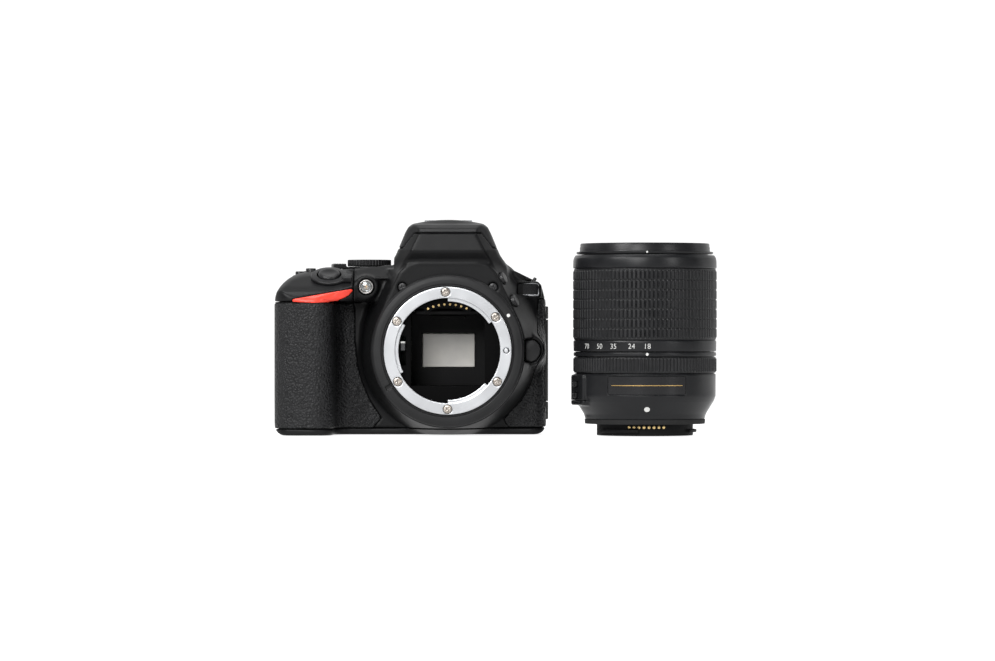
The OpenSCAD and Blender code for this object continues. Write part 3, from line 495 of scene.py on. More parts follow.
grip_face = soften([(-82, 2.9), (-34, 2.9), (-30.2, 7.6), (-35.7, 16), (-39.2, 24.6), (-41.0, 31),
                    (-42.1, 42), (-42.2, 52), (-42.6, 59.4), (-82, 59.4)], 2, 2)
grip_zone = less(np.maximum(poly_sdf(grip_face, x, z), y - 8), box_sdf(G.g, (-90, -3, 10), (-74, 40, 56)))
side_face = soften([(40.9, 61.5), (40.2, 54), (40.2, 45.5), (43.0, 41.5), (43.0, 37), (39.4, 30.6),
                    (37, 22.7), (32.9, 15.4), (27.4, 9.6), (25, 7), (27.2, 3.3), (60, 3.3), (60, 61.5)], 2,
                   2)
side_zone = less(np.maximum(poly_sdf(side_face, x, z), y - 8), box_sdf(G.g, (40, -4, 10), (60, 40, 58)))
accent_face = soften([(-69.6, 60.2), (-69.2, 61), (-56, 63.4), (-43.2, 65.6), (-42.5, 65), (-44.5, 62.7),
                      (-47, 61.4), (-49.5, 60.4), (-54, 59.6), (-59.2, 59.3), (-64, 59.5), (-68.9, 59.8)],
                     1.2, 2)
accent_zone = np.maximum(poly_sdf(accent_face, x, z), y + 12)
seat = np.minimum(np.maximum(grip_zone, -(S + 1.0)), np.maximum(side_zone, -(S + 1.0)))
seat = np.minimum(seat, np.maximum(accent_zone - 0.1, -(S + 0.9)))

covers = both(S, -inner)
covers = less(covers, hole, 0.3)
covers = less(covers, seat, 0.2)
covers = G.full(covers)


def cover(name, zone, mat="cover", r=0.35):
    """One of the four covers: the part of the wall inside a zone, less half a seam."""
    put(G.mesh(name + "_form", both(covers, zone + CLEAR, r)), mat, "camera_body", "cover_black", name)


not_flash = -(flash_cut - 0.15)
front_zone = np.maximum(np.maximum(y - SPLIT_Y, SPLIT_BASE - z), np.maximum(-top_region, not_flash))
rear_zone = np.maximum(np.maximum(SPLIT_Y - y, SPLIT_BASE - z), -top_region)
cover("front_cover", front_zone, "tower", 0.1)
cover("rear_cover", rear_zone)
cover("top_cover", np.maximum(top_region, not_flash), r=0.1)
cover("bottom_cover", z - SPLIT_BASE)

# flash head: the front of the hump, with a low dome before the accessory shoe
dome = (np.sqrt((x / 15.5) ** 2 + ((y + 15.5) / 6.2) ** 2 + ((z - 93.9) / 3.0) ** 2) - 1) * 3.0
lid_form = either(hump, dome, 1.2)
lid = both(np.maximum(both(lid_form, -(hump + 1.8)), -G.full(hole)), flash + CLEAR, 0.35)
put(G.mesh("flash_head_form", lid), "cover", "flash_head", "cover_black", "flash_head")

# a dark liner closes the seams from inside
near_seam = np.minimum(np.abs(top_region), np.abs(z - SPLIT_BASE)) - 1.6
near_seam = np.minimum(near_seam, np.maximum(np.abs(y - SPLIT_Y) - 1.6, -top_region))
LINER_OUT, LINER_IN = 2.35, 3.1      # depths below the surface
liner = both(np.maximum(S + LINER_OUT, -(S + LINER_IN)), near_seam)
liner = less(liner, hole, 0.1)
lip = np.maximum(np.maximum(hump + 2.15, -(hump + 2.9)), np.maximum(np.abs(flash) - 1.4, y + 9.5))
put(G.mesh("seam_liner", np.minimum(liner, less(G.full(lip), hole, 0.1))), "inner", "camera_body",
    "cover_black")

# name plate, blank: a rim and a glossy face
B = Grid((29, -13, 61), (44, 0, 70), H * 0.5)
plate_slab = slab_over(poly_sdf(plan_low, B.x, B.y), B.x, B.y, B.z)
plate_outline = soften([(30.1, 62.4), (30.7, 69.0), (40.7, 68.8), (41.7, 67.3), (41.4, 62.4)], 2, 1)
plate_out = poly_sdf(plate_outline, B.x, B.z)
plate_face = np.maximum(plate_out + 0.1, B.y + 3)
rim = both(both(plate_slab - 0.95, -(plate_slab - 0.1), 0.2), np.maximum(-(plate_out + 0.85), plate_face),
           0.2)
put(B.mesh("badge_rim", rim), "rim", "camera_body", "button_black")
face = both(both(plate_slab - 0.55, -(plate_slab + 0.2), 0.15), plate_face + 0.5, 0.1)
put(B.mesh("badge_plate", face), "plate", "camera_body", "button_black")

# leatherette skins, sunk in their seats
for name, zone in (("grip_rubber", grip_zone), ("side_rubber", side_zone)):
    skin = both(both(S - 0.12, -(S + 0.85), 0.2), zone + 0.12, 0.3)
    put(G.mesh(name + "_form", less(skin, hole, 0.2)), "leather", "camera_body", "leatherette", name)

# doors: a part of the wall with a round bead along the hinge
DOOR_WALL = 1.8


def door(name, wall, zone, bead, mat="cover", slot="cover_black"):
    form = either(both(wall, box_sdf(G.g, *zone, 0.5), 0.3), rod(G.g, *bead))
    put(G.mesh(name + "_form", form), mat, name, slot, name)


door("battery_door", np.maximum(both(S, -(S + 1.9)), z - 1.95), ((-74.7, -27.7, -2), (-56.6, 14.0, 4)),
     ("y", (-56.6, 0.95), 0.95, -27.7, 14))
side_wall = both(S, -(S + DOOR_WALL))
door("card_door", np.maximum(side_wall, x + 75.9), ((-84, -1.9, 12.1), (-74, 15.6, 53.9)),
     ("z", (-77.05, 15.2), 0.9, 12.1, 53.9))
door("socket_cover", np.maximum(side_wall, 42.4 - x), ((40, -2.2, 12.1), (60, 12.9, 55.9)),
     ("z", (43.5, -1.8), 0.9, 12.1, 55.9), "door_rubber", "socket_rubber")

# knuckles of the monitor's hinge, on the rear cover
for k, (z0, z1) in enumerate(((6.2, 14.3), (52.3, 58.1))):
    K = Grid((38, 19, z0 - 1), (48, 31, z1 + 1), 0.35)
    web = box_sdf(K.g, (39.5, 20.9, z0), (44.3, 26, z1), 0.3)
    knuckle = either(rod(K.g, "z", (42.5, 26), 3.15, z0, z1, 0.4), web, 0.6)
    put(K.mesh("monitor_knuckle_%d" % k, knuckle), "cover", "camera_body", "cover_black")

# the red accent, on a finer grid
A = Grid((-71, -35, 57), (-41, -10, 68), H * 0.6)
accent_slab = slab_field(A.x, A.y, A.z)
accent = both(accent_slab - 0.1, -(accent_slab + 0.8), 0.2)
accent = both(accent, np.maximum(poly_sdf(accent_face, A.x, A.z), A.y + 12), 0.25)
put(A.mesh("grip_accent_form", accent), "accent", "camera_body", "accent_red", "grip_accent")

# ---------------------------------------------------------------- turned and moulded pieces


def lathe(name, profile, centre, mat, body, slot, *replaces, n=160, bevel=0.0, axis="z", hollow=True):
    """Spins an (r, height) outline.

    A closed outline gives a ring; one that starts and ends on the axis gives a solid.
    """
    p = [tuple(q) for q in profile]
    if bevel:
        p = round_corners(p, bevel, hollow)
    a = np.linspace(0, 2 * math.pi, n, endpoint=False)
    verts, faces = [], []
    k = len(p)
    rings = []
    for r, h in p:
        if r < 1e-6:
            rings.append([len(verts)])
            verts.append((0, 0, h))
        else:
            rings.append(list(range(len(verts), len(verts) + n)))
            verts += [(r * math.cos(t), r * math.sin(t), h) for t in a]
    for i in range(k if hollow else k - 1):
        a0, b0 = rings[i], rings[(i + 1) % k]
        for j in range(n):
            j2 = (j + 1) % n
            if len(a0) == 1 and len(b0) == 1:
                continue
            if len(a0) == 1:
                faces.append((a0[0], b0[j2], b0[j]))
            elif len(b0) == 1:
                faces.append((a0[j], a0[j2], b0[0]))
            else:
                faces.append((a0[j], a0[j2], b0[j2], b0[j]))
    o = mesh_object(name, verts, faces, True, 38)
    set_axis(o, centre, axis)
    return put(o, mat, body, slot, *replaces)


def set_axis(o, centre, axis="z"):
    return place(o, turned("X", {"z": 0, "-y": 90, "y": -90}[axis], centre))


def round_corners(p, r, closed=True):
    """Cuts each corner of an outline with a short three-point curve."""
    out = []
    n = len(p)
    for i in range(n):
        if not closed and i in (0, n - 1):
            out.append(p[i])
            continue
        a, b, c = np.array(p[i - 1], float), np.array(p[i], float), np.array(p[(i + 1) % n], float)
        u, v = a - b, c - b
        lu, lv = np.linalg.norm(u), np.linalg.norm(v)
        if lu < 1e-6 or lv < 1e-6 or abs((u @ v) / (lu * lv)) > 0.985:
            out.append(tuple(b))
            continue
        s = min(r, lu * 0.4, lv * 0.4)
        q0, q2 = b + u / lu * s, b + v / lv * s
        for t in (0, 0.33, 0.67, 1):
            out.append(tuple(q0 * (1 - t) ** 2 + b * 2 * t * (1 - t) + q2 * t * t))
    return out


def solid(name, lo, hi, h, f, mat, body, slot, *replaces, origin=None, turn=None):
    """Meshes a distance field; origin and turn put it in a tilted frame."""
    g = Grid(lo, hi, h * (1))
    o = g.mesh(name, f(g.g))
    if origin is not None:
        m = (turn if turn is not None else Matrix.Identity(3)).to_4x4()
        m.translation = Vector(origin)
        place(o, m)
    return put(o, mat, body, slot, *replaces)


def polar(g):
    return radius(g), np.arctan2(g[1], g[0])


def on_circle(r, deg):
    return r * math.cos(math.radians(deg)), r * math.sin(math.radians(deg))


def swung(g, deg):
    """Sample points along and across a spoke at an angle."""
    c, s = on_circle(1, deg)
    return g[0] * c + g[1] * s, -g[0] * s + g[1] * c, g[2]


def sector_field(g, r_in, r_out, a0, a1, z0, z1, edge=0.2):
    """A part of a ring, with its ends square to the arc."""
    r, a = polar(g)
    mid, half = math.radians((a0 + a1) / 2), math.radians((a1 - a0) / 2)
    d = (np.abs((a - mid + math.pi) % (2 * math.pi) - math.pi) - half) * r
    ring = both(both(r - r_out, r_in - r, edge), np.maximum(g[2] - z1, z0 - g[2]), edge)
    return both(ring, d, edge)


def copy_mesh(o, name, matrix):
    c = bpy.data.objects.new(name, o.data.copy())
    scene.collection.objects.link(c)
    return place(c, matrix)


def join(objects, name):
    verts, faces, at = [], [], 0
    for o in objects:
        co = np.zeros(len(o.data.vertices) * 3, np.float32)
        o.data.vertices.foreach_get("co", co)
        verts.append(co.reshape(-1, 3) * 1000)
        faces += [tuple(i + at for i in p.vertices) for p in o.data.polygons]
        at += len(o.data.vertices)
        bpy.data.objects.remove(o)
    return mesh_object(name, np.concatenate(verts), faces, True, 40)


MOUNT = turned("X", 90, (0, FLANGE, AXIS))
LUGS = [(33, 90), (149, 206), (270, 319)]
SCREWS = [92, 150, 212, 270, 328, 35]
SCREW_R = 26.2                       # ring of the mount screws
NOTCH = 212                          # a notch in the collar, in degrees


def ring_field(g):
    r = radius(g)
    f = both(both(r - 28.6, 23.5 - r, 0.35), np.maximum(g[2], -2.6 - g[2]), 0.3)
    for a0, a1 in LUGS:
        f = either(f, sector_field(g, 22.0, 24.5, a0, a1, -2.6, -1.3, 0.25), 0.1)
    for deg in SCREWS:
        cx, cy = on_circle(SCREW_R, deg)
        f = less(f, np.maximum(radius((g[0] - cx, g[1] - cy)) - 2.1, -1.0 - g[2]), 0.2)
    return less(f, radius((g[0] - SCREW_R, g[1])) - 1.3, 0.2)


solid("mount_ring_form", (-29.2, -29.2, -3.1), (29.2, 29.2, 0.6), 0.2, ring_field, "steel", "camera_body",
      "mount_steel", "mount_ring", origin=MOUNT.translation, turn=MOUNT.to_3x3())


def collar_field(g):
    r = radius(g)
    top = np.interp(r, [28.7, 29.3, 31.6, 33.2, 34.2], [-0.95, -0.9, -0.9, -1.2, -2.2])
    f = both(both(r - 34.2, 28.85 - r, 0.4), np.maximum(g[2] - top, -3.6 - g[2]), 0.2)
    groove = np.abs(r - 29.6) - 0.18
    f = less(f, np.maximum(groove, -1.35 - g[2]), 0.1)
    u, v, w = swung(g, NOTCH)
    return less(f, np.maximum(np.maximum(np.abs(u - 30.9) - 1.6, np.abs(v) - 1.0), -2.0 - w), 0.2)


solid("mount_collar_form", (-34.9, -34.9, -4.1), (34.9, 34.9, -0.3), 0.26, collar_field, "collar",
      "camera_body", "collar_black", "mount_collar", origin=MOUNT.translation, turn=MOUNT.to_3x3())
dot_x, dot_z = on_circle(31.4, 30)
lathe("mount_index_dot", [(0, 0.0), (0.78, 0.0), (0.78, 0.12), (0.55, 0.2), (0, 0.2)],
      (dot_x, FLANGE + 0.95, AXIS + dot_z), "white", "camera_body", "lever_white", axis="-y", n=32,
      hollow=False)


def screw_field(g, shank=3.2):
    r = radius(g)
    dome = g[2] + 0.05 * r * r
    f = both(both(r - 1.92, dome, 0.22), -0.85 - g[2], 0.15)
    f = either(f, both(r - 0.95, np.maximum(g[2] + 0.5, -shank - g[2]), 0.1))
    cross = np.minimum(np.maximum(np.abs(g[0]) - 1.15, np.abs(g[1]) - 0.27),
                       np.maximum(np.abs(g[1]) - 1.15, np.abs(g[0]) - 0.27))
    return less(f, np.maximum(cross, -0.6 - g[2]), 0.06)


sg = Grid((-2.2, -2.2, -3.4), (2.2, 2.2, 0.3), 0.11)
one_screw = sg.mesh("screw_seed", screw_field(sg.g))
bright, dark = [], []
for i, s in enumerate(SCREWS):
    m = MOUNT @ Matrix.Translation((*on_circle(SCREW_R, s), -0.1))
    bright.append(copy_mesh(one_screw, "s", m @ turned("Z", 17 + 40 * i)))
for i, (sx, sz) in enumerate(TOWER_SCREWS):
    dark.append(copy_mesh(one_screw, "s", turned("X", 90, (sx, -28.4, sz)) @ turned("Z", 20 + 50 * i)))
for i, at in enumerate(BASE_SCREWS):
    dark.append(copy_mesh(one_screw, "s", turned("X", 180, (*at, 0.12)) @ turned("Z", 33 * i)))
bpy.data.objects.remove(one_screw)
put(join(bright, "mount_screws"), "screw", "camera_body", "screw_steel", "screws")
put(join(dark, "cover_screws"), "screw_dark", "camera_body", "screw_steel")

lathe("lock_pin_form", [(0, -6.5), (1.08, -6.5), (1.08, 0.55), (0.8, 0.95), (0, 1.0)],
      (SCREW_R, FLANGE, AXIS), "steel", "lens_lock_pin", "mount_steel", "lens_lock_pin", axis="-y", n=48,
      bevel=0.15, hollow=False)


def release_field(g):
    """The lens release button, D-shaped from the front."""
    r = radius(g)
    crown = g[2] - (20.5 - 0.018 * r * r)
    return both(both(both(r - 5.1, -2.0 - g[0], 0.9), crown, 0.7), 12 - g[2], 0.2)


rg = Grid((-3, -6, 11.5), (6, 6, 21), 0.2)
ro = rg.mesh("release_button_form", release_field(rg.g))
put(place(ro, turned("X", 90, (POD[0], 0, POD[1]))), "button", "lens_release_button", "button_black",
    "lens_release_button")

# assist lamp: polished cup, warm lens, clear window
LAMP_AT = (LAMP[0], 0, LAMP[1])
lathe("lamp_bezel_form",
      [(3.25, 19.6), (3.25, 24.15), (3.05, 24.5), (2.65, 24.5), (2.45, 24.1), (2.3, 23.4), (1.5, 22.9),
       (1.05, 22.2), (1.05, 19.6)], LAMP_AT, "chrome", "camera_body", "lamp_amber", "assist_lamp",
      axis="-y", n=72, bevel=0.1)
lathe("lamp_lens_form", [(0, 20.5), (1.0, 20.5), (1.0, 22.4), (0.7, 22.9), (0.3, 23.05), (0, 23.08)],
      LAMP_AT, "amber", "camera_body", "lamp_amber", axis="-y", n=48, hollow=False)
lathe("lamp_window_form", [(0, 23.6), (2.2, 23.6), (2.25, 23.75), (1.2, 24.0), (0, 24.1)],
      LAMP_AT, "clear", "camera_body", "clear_glass", axis="-y", n=64, hollow=False)

# shutter button, power switch
so = lathe("shutter_button_form",
           [(0, -2.2), (4.9, -2.2), (4.9, 1.9), (4.72, 2.3), (4.2, 2.66), (3.4, 2.62), (2.2, 2.42),
            (1.0, 2.32), (0, 2.3)], (0, 0, 0), "button", "shutter_button", "button_black",
           "shutter_button", n=96, hollow=False)
place(so, turned("X", DECK_TILT, DECK))


def switch_field(g):
    r = radius(g)
    base = both(both(r - 8.2, 5.45 - r, 0.3),
                np.maximum(g[2] - (1.75 - 0.35 * (r - 5.4) / 2.8), 0.16 - g[2]), 0.3)
    tab = box_sdf(g, (6.0, -5.3, 0.16), (10.5, -1.4, 3.0), 0.6)
    ridges = np.abs((g[1] + 1.6) % 1.15 - 0.58) - 0.16
    tab = less(tab, np.maximum(ridges, np.maximum(2.75 - g[2], 7.4 - g[0])), 0.08)
    return less(either(base, tab, 0.7), r - 5.45, 0.1)


solid("power_switch_form", (-8.8, -8.8, -0.3), (11, 8.8, 3.5), 0.19, switch_field, "button",
      "power_switch", "button_black", "power_switch", origin=DECK, turn=rot("X", DECK_TILT))


def lug_field(g):
    bar = box_sdf(g, (-0.8, -4.2, -2.2), (0.8, 4.2, 0.95), 0.45)
    return less(bar, box_sdf(g, (-3, -2.9, -1.7), (3, 2.9, 0.05), 0.3), 0.2)


for k, (at, lean) in enumerate(STRAP_LUGS):
    solid("strap_lug_%d" % k, (-1.1, -4.6, -2.5), (1.1, 4.6, 1.3), 0.17, lug_field, "lug", "camera_body",
          "shoe_steel", *(["strap_lugs"] if k == 0 else []), origin=at, turn=rot("Y", lean))


def dial_field(r0, h0, h1, ribs, depth, dish=0.25):
    """A knurled dial with a shallow dish on top."""
    def f(g):
        r, a = polar(g)
        wave = depth * (0.5 + 0.5 * np.cos(ribs * a)) ** 0.7
        body = both(r - (r0 - wave), np.maximum(g[2] - h1, h0 - g[2]), 0.3)
        return less(body, np.maximum(r - (r0 - 1.7), h1 - dish - g[2]), 0.2)
    return f


DIAL_AT = Vector((*DIAL, TOP))
solid("mode_dial_form", (-10.3, -10.3, 1.0), (10.3, 10.3, 4.7), 0.17, dial_field(9.95, 1.4, 4.35, 44, 0.34),
      "button", "mode_dial", "button_black", "mode_dial", origin=DIAL_AT)
lathe("mode_dial_shaft", [(0, -4.9), (3.95, -4.9), (3.95, 1.5), (0, 1.5)], DIAL_AT, "inner", "mode_dial",
      "button_black", n=64, bevel=0.2, hollow=False)


def dial_marks(n=12, z0=4.0, z1=4.16):
    """Plain strokes round the mode dial, every third one longer and wider."""
    verts, faces = [], []
    for i in range(n):
        c, s = on_circle(1, 360 * i / n)
        r0, r1, half_width = (5.2, 7.4, 0.22) if i % 3 else (4.6, 7.6, 0.34)
        flat = [(r0, -half_width), (r1, -half_width), (r1, half_width), (r0, half_width)]
        b = len(verts)
        verts += [(u * c - v * s, u * s + v * c, h) for h in (z0, z1) for u, v in flat]
        faces += [(b + 4, b + 5, b + 6, b + 7), (b + 3, b + 2, b + 1, b)]
        faces += [(b + k, b + (k + 1) % 4, b + (k + 1) % 4 + 4, b + k + 4) for k in range(4)]
    return mesh_object("mode_dial_marks", verts, faces, False)


put(place(dial_marks(), Matrix.Translation(DIAL_AT)), "white", "mode_dial", "lever_white")


def lever_field(g):
    r = radius(g)
    f = both(both(r - 10.45, 4.35 - r, 0.25), np.maximum(g[2] - 1.15, 0.12 - g[2]), 0.25)
    spoke = swung(g, 195)
    tab = box_sdf(spoke, (11.2, -2.55, 0.12), (17.3, 2.55, 2.6), 0.6)
    arm = box_sdf(spoke, (9, -2.5, 0.12), (12, 2.5, 1.15), 0.2)
    ridge = np.abs((spoke[0] + 0.3) % 1.2 - 0.6) - 0.17
    tab = less(tab, np.maximum(ridge, 2.35 - g[2]), 0.08)
    return either(either(f, arm, 0.2), tab, 0.5)


solid("live_view_lever_form", (-18, -11, -0.2), (11, 11, 3.0), 0.22, lever_field, "button", "live_view_lever",
      "button_black", "live_view_lever", origin=DIAL_AT)
solid("command_dial_form", (-7, -7, -0.2), (7, 7, 2.6), 0.16, dial_field(6.55, 0.05, 2.25, 34, 0.32, 0.15),
      "button", "command_dial", "button_black", "command_dial", origin=(COMMAND[0], COMMAND[1], COMMAND_Z))


def cap(r, z0, z1, crown=0.25, edge=0.35):
    return [(0, z0), (r, z0), (r, z1 - edge), (r - edge * 0.35, z1 - edge * 0.3), (r - edge, z1),
            (r * 0.5, z1 + crown * 0.15 - 0.05), (0, z1 + crown * 0.2 - 0.05)]


def press_button(name, profile, matrix, n=56):
    o = lathe(name + "_form", profile, (0, 0, 0), "button", name, "button_black", name, n=n, hollow=False)
    place(o, matrix)


for (cx, cy, r, top), name in zip(TOP_BUTTONS, ("record_button", "exposure_button")):
    press_button(name, cap(r, top - 4.6, top), Matrix.Translation((cx, cy, 0)))
for at, name in zip(FLANK_BUTTONS, ("flash_button", "function_button")):
    press_button(name, cap(2.6, -1.8, 2.0), Matrix.Translation(at) @ FLANK.to_4x4())
for name, (cx, cz), r, h in (("ok_button", SELECTOR, 3.75, 3.6), ("playback_button", PLAYBACK, 2.4, 2.9)):
    press_button(name, cap(r, 0, h), turned("X", -90, (cx, 20, cz)), n=64)


def selector_field(g):
    r = radius(g)
    top = 3.4 - 0.012 * r * r
    f = both(both(r - 8.75, 4.05 - r, 0.5), np.maximum(g[2] - top, -g[2]), 0.4)
    for i in range(4):
        u, v, w = swung(g, 90 * i)
        tri = np.maximum(np.abs(v) - (7.6 - u) * 0.9, 6.6 - u)
        f = less(f, np.maximum(tri, 2.328 - w), 0.1)
    return f


solid("multi_selector_form", (-9.1, -9.1, -0.3), (9.1, 9.1, 3.8), 0.2, selector_field, "button",
      "multi_selector", "button_black", "multi_selector", origin=(SELECTOR[0], 20, SELECTOR[1]),
      turn=rot("X", -90))

# ---------------------------------------------------------------- zoom lens

LX, LY = 88.5, -22.0                 # the lens stands here, its mount downwards
LENS = Vector((LX, LY, 0))
FRONT = math.radians(-90)


def wrap_field(name, r_of, z0, z1, r_in, n_a, n_z, mat, body, slot, *replaces, ends=0.35):
    """A ring whose outer surface is r_of(angle, height), closed at the back at r_in."""
    a = np.linspace(0, 2 * math.pi, n_a, endpoint=False)
    zz = np.linspace(z0, z1, n_z)
    rr = r_of(a[None, :], zz[:, None])
    edge = np.minimum(zz - z0, z1 - zz)
    soft = ends - np.sqrt(np.maximum(0, ends ** 2 - np.maximum(0, ends - edge) ** 2))
    rr = rr - soft[:, None]
    rows = [np.stack([rr[i] * np.cos(a), rr[i] * np.sin(a), np.full(n_a, zz[i])], 1) for i in range(n_z)]
    rows.append(np.stack([r_in * np.cos(a), r_in * np.sin(a), np.full(n_a, z1)], 1))
    rows.append(np.stack([r_in * np.cos(a), r_in * np.sin(a), np.full(n_a, z0)], 1))
    v = np.concatenate(rows)
    k = len(rows)
    i, j = np.meshgrid(np.arange(k), np.arange(n_a), indexing="ij")
    i2, j2 = (i + 1) % k, (j + 1) % n_a
    q = np.stack([i * n_a + j, i * n_a + j2, i2 * n_a + j2, i2 * n_a + j], -1).reshape(-1, 4)
    o = mesh_object(name, v, q, True, 50)
    place(o, Matrix.Translation(LENS))
    return put(o, mat, body, slot, *replaces)


def step(d, w):
    """0 where d is well below zero, 1 well above, over a width w."""
    return np.clip(d / w + 0.5, 0, 1)


COLS, ROWS = 103, 7                  # ribs of the zoom grip, and the blocks along each
Z0, Z1 = 42.8, 74.6                  # ends of the grip


def grip_radius(a, z):
    u = ((a - FRONT) * COLS / (2 * math.pi) + 0.5) % 1 - 0.5
    width = 2 * math.pi * 32.2 / COLS
    col = step(0.34 * width - np.abs(u) * width, 0.3)
    pitch = (Z1 - Z0 - 1.6) / ROWS
    v = ((z - Z0 - 0.8) / pitch) % 1 - 0.5
    tab = step(0.44 * pitch - np.abs(v) * pitch, 0.3)
    inside = step(z - Z0 - 0.7, 0.2) * step(Z1 - 0.7 - z, 0.2)
    return 31.75 + (0.5 * col * (0.35 + 0.65 * tab)) * inside + 0.12 * (1 - inside)


wrap_field("zoom_grip_form", grip_radius, Z0, Z1, 31.45, COLS * (8),
           150, "ring_rubber", "zoom_ring", "ring_rubber", "zoom_grip", ends=0.25)
RIBS = 120                           # ribs of the focus ring


def focus_radius(a, z):
    u = ((a - FRONT) * RIBS / (2 * math.pi) + 0.5) % 1 - 0.5
    rib = step(0.29 - np.abs(u), 0.2)
    inside = step(z - 28.7, 0.25) * step(34.5 - z, 0.25)
    return 31.7 + 0.48 * rib * inside + 0.1 * (1 - inside)


wrap_field("focus_ring_form", focus_radius, 28.05, 35.15, 29.4, RIBS * (8), 40,
           "ring_rubber", "focus_ring", "ring_rubber", "focus_ring", ends=0.3)

SWITCHES = {"focus_mode_switch": 23.0, "stabiliser_switch": 18.0}
PANEL = 197                          # the switch panel, in degrees round the lens


def barrel_field(g):
    r, a = polar(g)
    prof = soften([(20, 7.05), (26.6, 7.05), (27.0, 8.2), (27.3, 9.5), (31.0, 15.6), (31.75, 17.6),
                   (31.8, 27.7), (20, 27.7)], 1.5, 1)
    f = poly_sdf(prof, r[:, :, 0:1], g[2])
    u, v, w = swung(g, PANEL)
    pad = both(box_sdf((u, v, w), (28, -8.4, 13.6), (33.0, 8.4, 27.2), 1.4), u - (33.0 - 0.012 * v * v), 0.5)
    f = either(f, pad, 0.8)
    for zc in SWITCHES.values():
        f = less(f, box_sdf((u, v, w), (31.9, -3.2, zc - 1.45), (38, 3.2, zc + 1.45), 0.3), 0.15)
    line = np.abs(box_sdf((u, v, w), (20, -6.9, 14.9), (40, 6.9, 26.1), 1.0)) - 0.12
    f = less(f, np.maximum(line, 32.35 - u), 0.08)
    along = (((a - FRONT + math.pi) % (2 * math.pi)) - math.pi) * 31.8
    plate = np.maximum(np.abs(along) - 18.6, np.abs(g[2] - 22.6) - 4.3)
    plate = np.where((np.abs(along) > 17.6) & (np.abs(g[2] - 22.6) > 3.3),
                     np.sqrt((np.abs(along) - 17.6) ** 2 + (np.abs(g[2] - 22.6) - 3.3) ** 2) - 1.0, plate)
    f = less(f, np.maximum(plate, 31.0 - r), 0.12)
    seam = np.abs(g[2] - 15.9) - 0.13
    return less(f, np.maximum(seam, 31.0 - r), 0.05)


def shell_field(g):
    r = radius(g)
    f = barrel_field(g)
    bore = poly_sdf([(-5, 0), (24, 0), (24, 10), (28.5, 15.5), (28.5, 40), (-5, 40)], r[:, :, 0:1], g[2])
    return less(f, bore, 0.1)


bg = Grid((-34, -33, 6.2), (33, 33, 28.2), 0.3)
bo = bg.mesh("rear_barrel_form", shell_field(bg.g))
place(bo, Matrix.Translation(LENS))
put(bo, "barrel", "zoom_lens", "barrel_black", "lens_barrel")
lathe("barrel_sleeve",
      [(28.55, 27.3), (31.1, 27.3), (31.1, 27.93), (29.25, 27.93), (29.25, 35.25), (31.2, 35.25),
       (31.25, 35.6), (31.9, 35.6), (32.0, 36.0), (32.0, 36.9), (31.8, 37.25), (31.2, 37.25),
       (31.2, 37.52), (29.25, 37.52), (29.25, 79), (28.55, 79)], LENS, "barrel", "zoom_lens",
      "barrel_black", bevel=0.12)
lathe("zoom_ring_form",
      [(29.45, 37.65), (31.75, 37.65), (32.0, 38.0), (32.1, 41.9), (31.9, 42.5), (31.45, 42.62),
       (31.45, 74.8), (32.0, 74.8), (32.25, 75.2), (32.2, 78.0), (31.95, 79.4), (31.2, 80.7),
       (29.45, 80.7)], LENS, "barrel", "zoom_ring", "barrel_black", "zoom_ring", bevel=0.15, n=200)
lathe("inner_barrel_form",
      [(26, 36), (28.35, 36), (28.35, 81.25), (30.5, 81.25), (30.7, 81.6), (30.65, 82.2), (29.35, 82.35),
       (29.2, 82.8), (29.2, 84.1), (29.0, 84.5), (29.0, 85.6), (28.7, 86.0), (27.9, 86.0), (27.5, 85.5),
       (27.5, 85.2), (27.75, 85.0), (27.5, 84.8), (27.75, 84.6), (27.5, 84.4), (27.75, 84.2), (27.5, 84.0),
       (27.5, 83.0), (26.8, 82.6), (26.4, 82.0), (25.9, 81.9), (25.5, 81.4), (25.1, 81.3), (24.7, 80.8),
       (24.6, 76), (26, 76)], LENS, "barrel", "inner_barrel", "barrel_black", "inner_barrel", n=200)
lathe("front_element_form",
      [(0, 76.2), (24.3, 76.2), (24.35, 77.4)]
      + [(24.35 * math.cos(q), 77.5 + 3.7 * (1 - (math.cos(q)) ** 2))
         for q in np.linspace(0.02, math.pi / 2 - 0.02, 24)] + [(0, 81.2)], LENS, "glass", "inner_barrel",
      "front_glass", "front_element", n=160, hollow=False)
lathe("iris_plate", [(7, 76.0), (24.2, 76.0), (24.2, 76.1), (7.2, 76.1)], LENS, "inner", "inner_barrel",
      "barrel_black", n=96)
lathe("lens_flange_form", [(18.2, 5.5), (26.2, 5.5), (26.4, 5.7), (26.4, 6.8), (26.2, 7.0), (18.2, 7.0)],
      LENS, "steel", "zoom_lens", "mount_steel", "lens_bayonet")
lathe("mount_gasket", [(26.45, 5.3), (26.75, 5.2), (26.95, 5.5), (27.1, 7.3), (26.45, 7.3)], LENS,
      "rubber", "zoom_lens", "barrel_black", bevel=0.1)


def bayonet_field(g):
    r = radius(g)
    f = both(both(r - 21.6, 18.1 - r, 0.25), np.maximum(g[2] - 5.6, 0.02 - g[2]), 0.25)
    for a0, a1 in LUGS:
        f = either(f, sector_field(g, 21.2, 23.2, a0 + 58, a0 + 112, 1.5, 2.8, 0.2), 0.1)
    return f


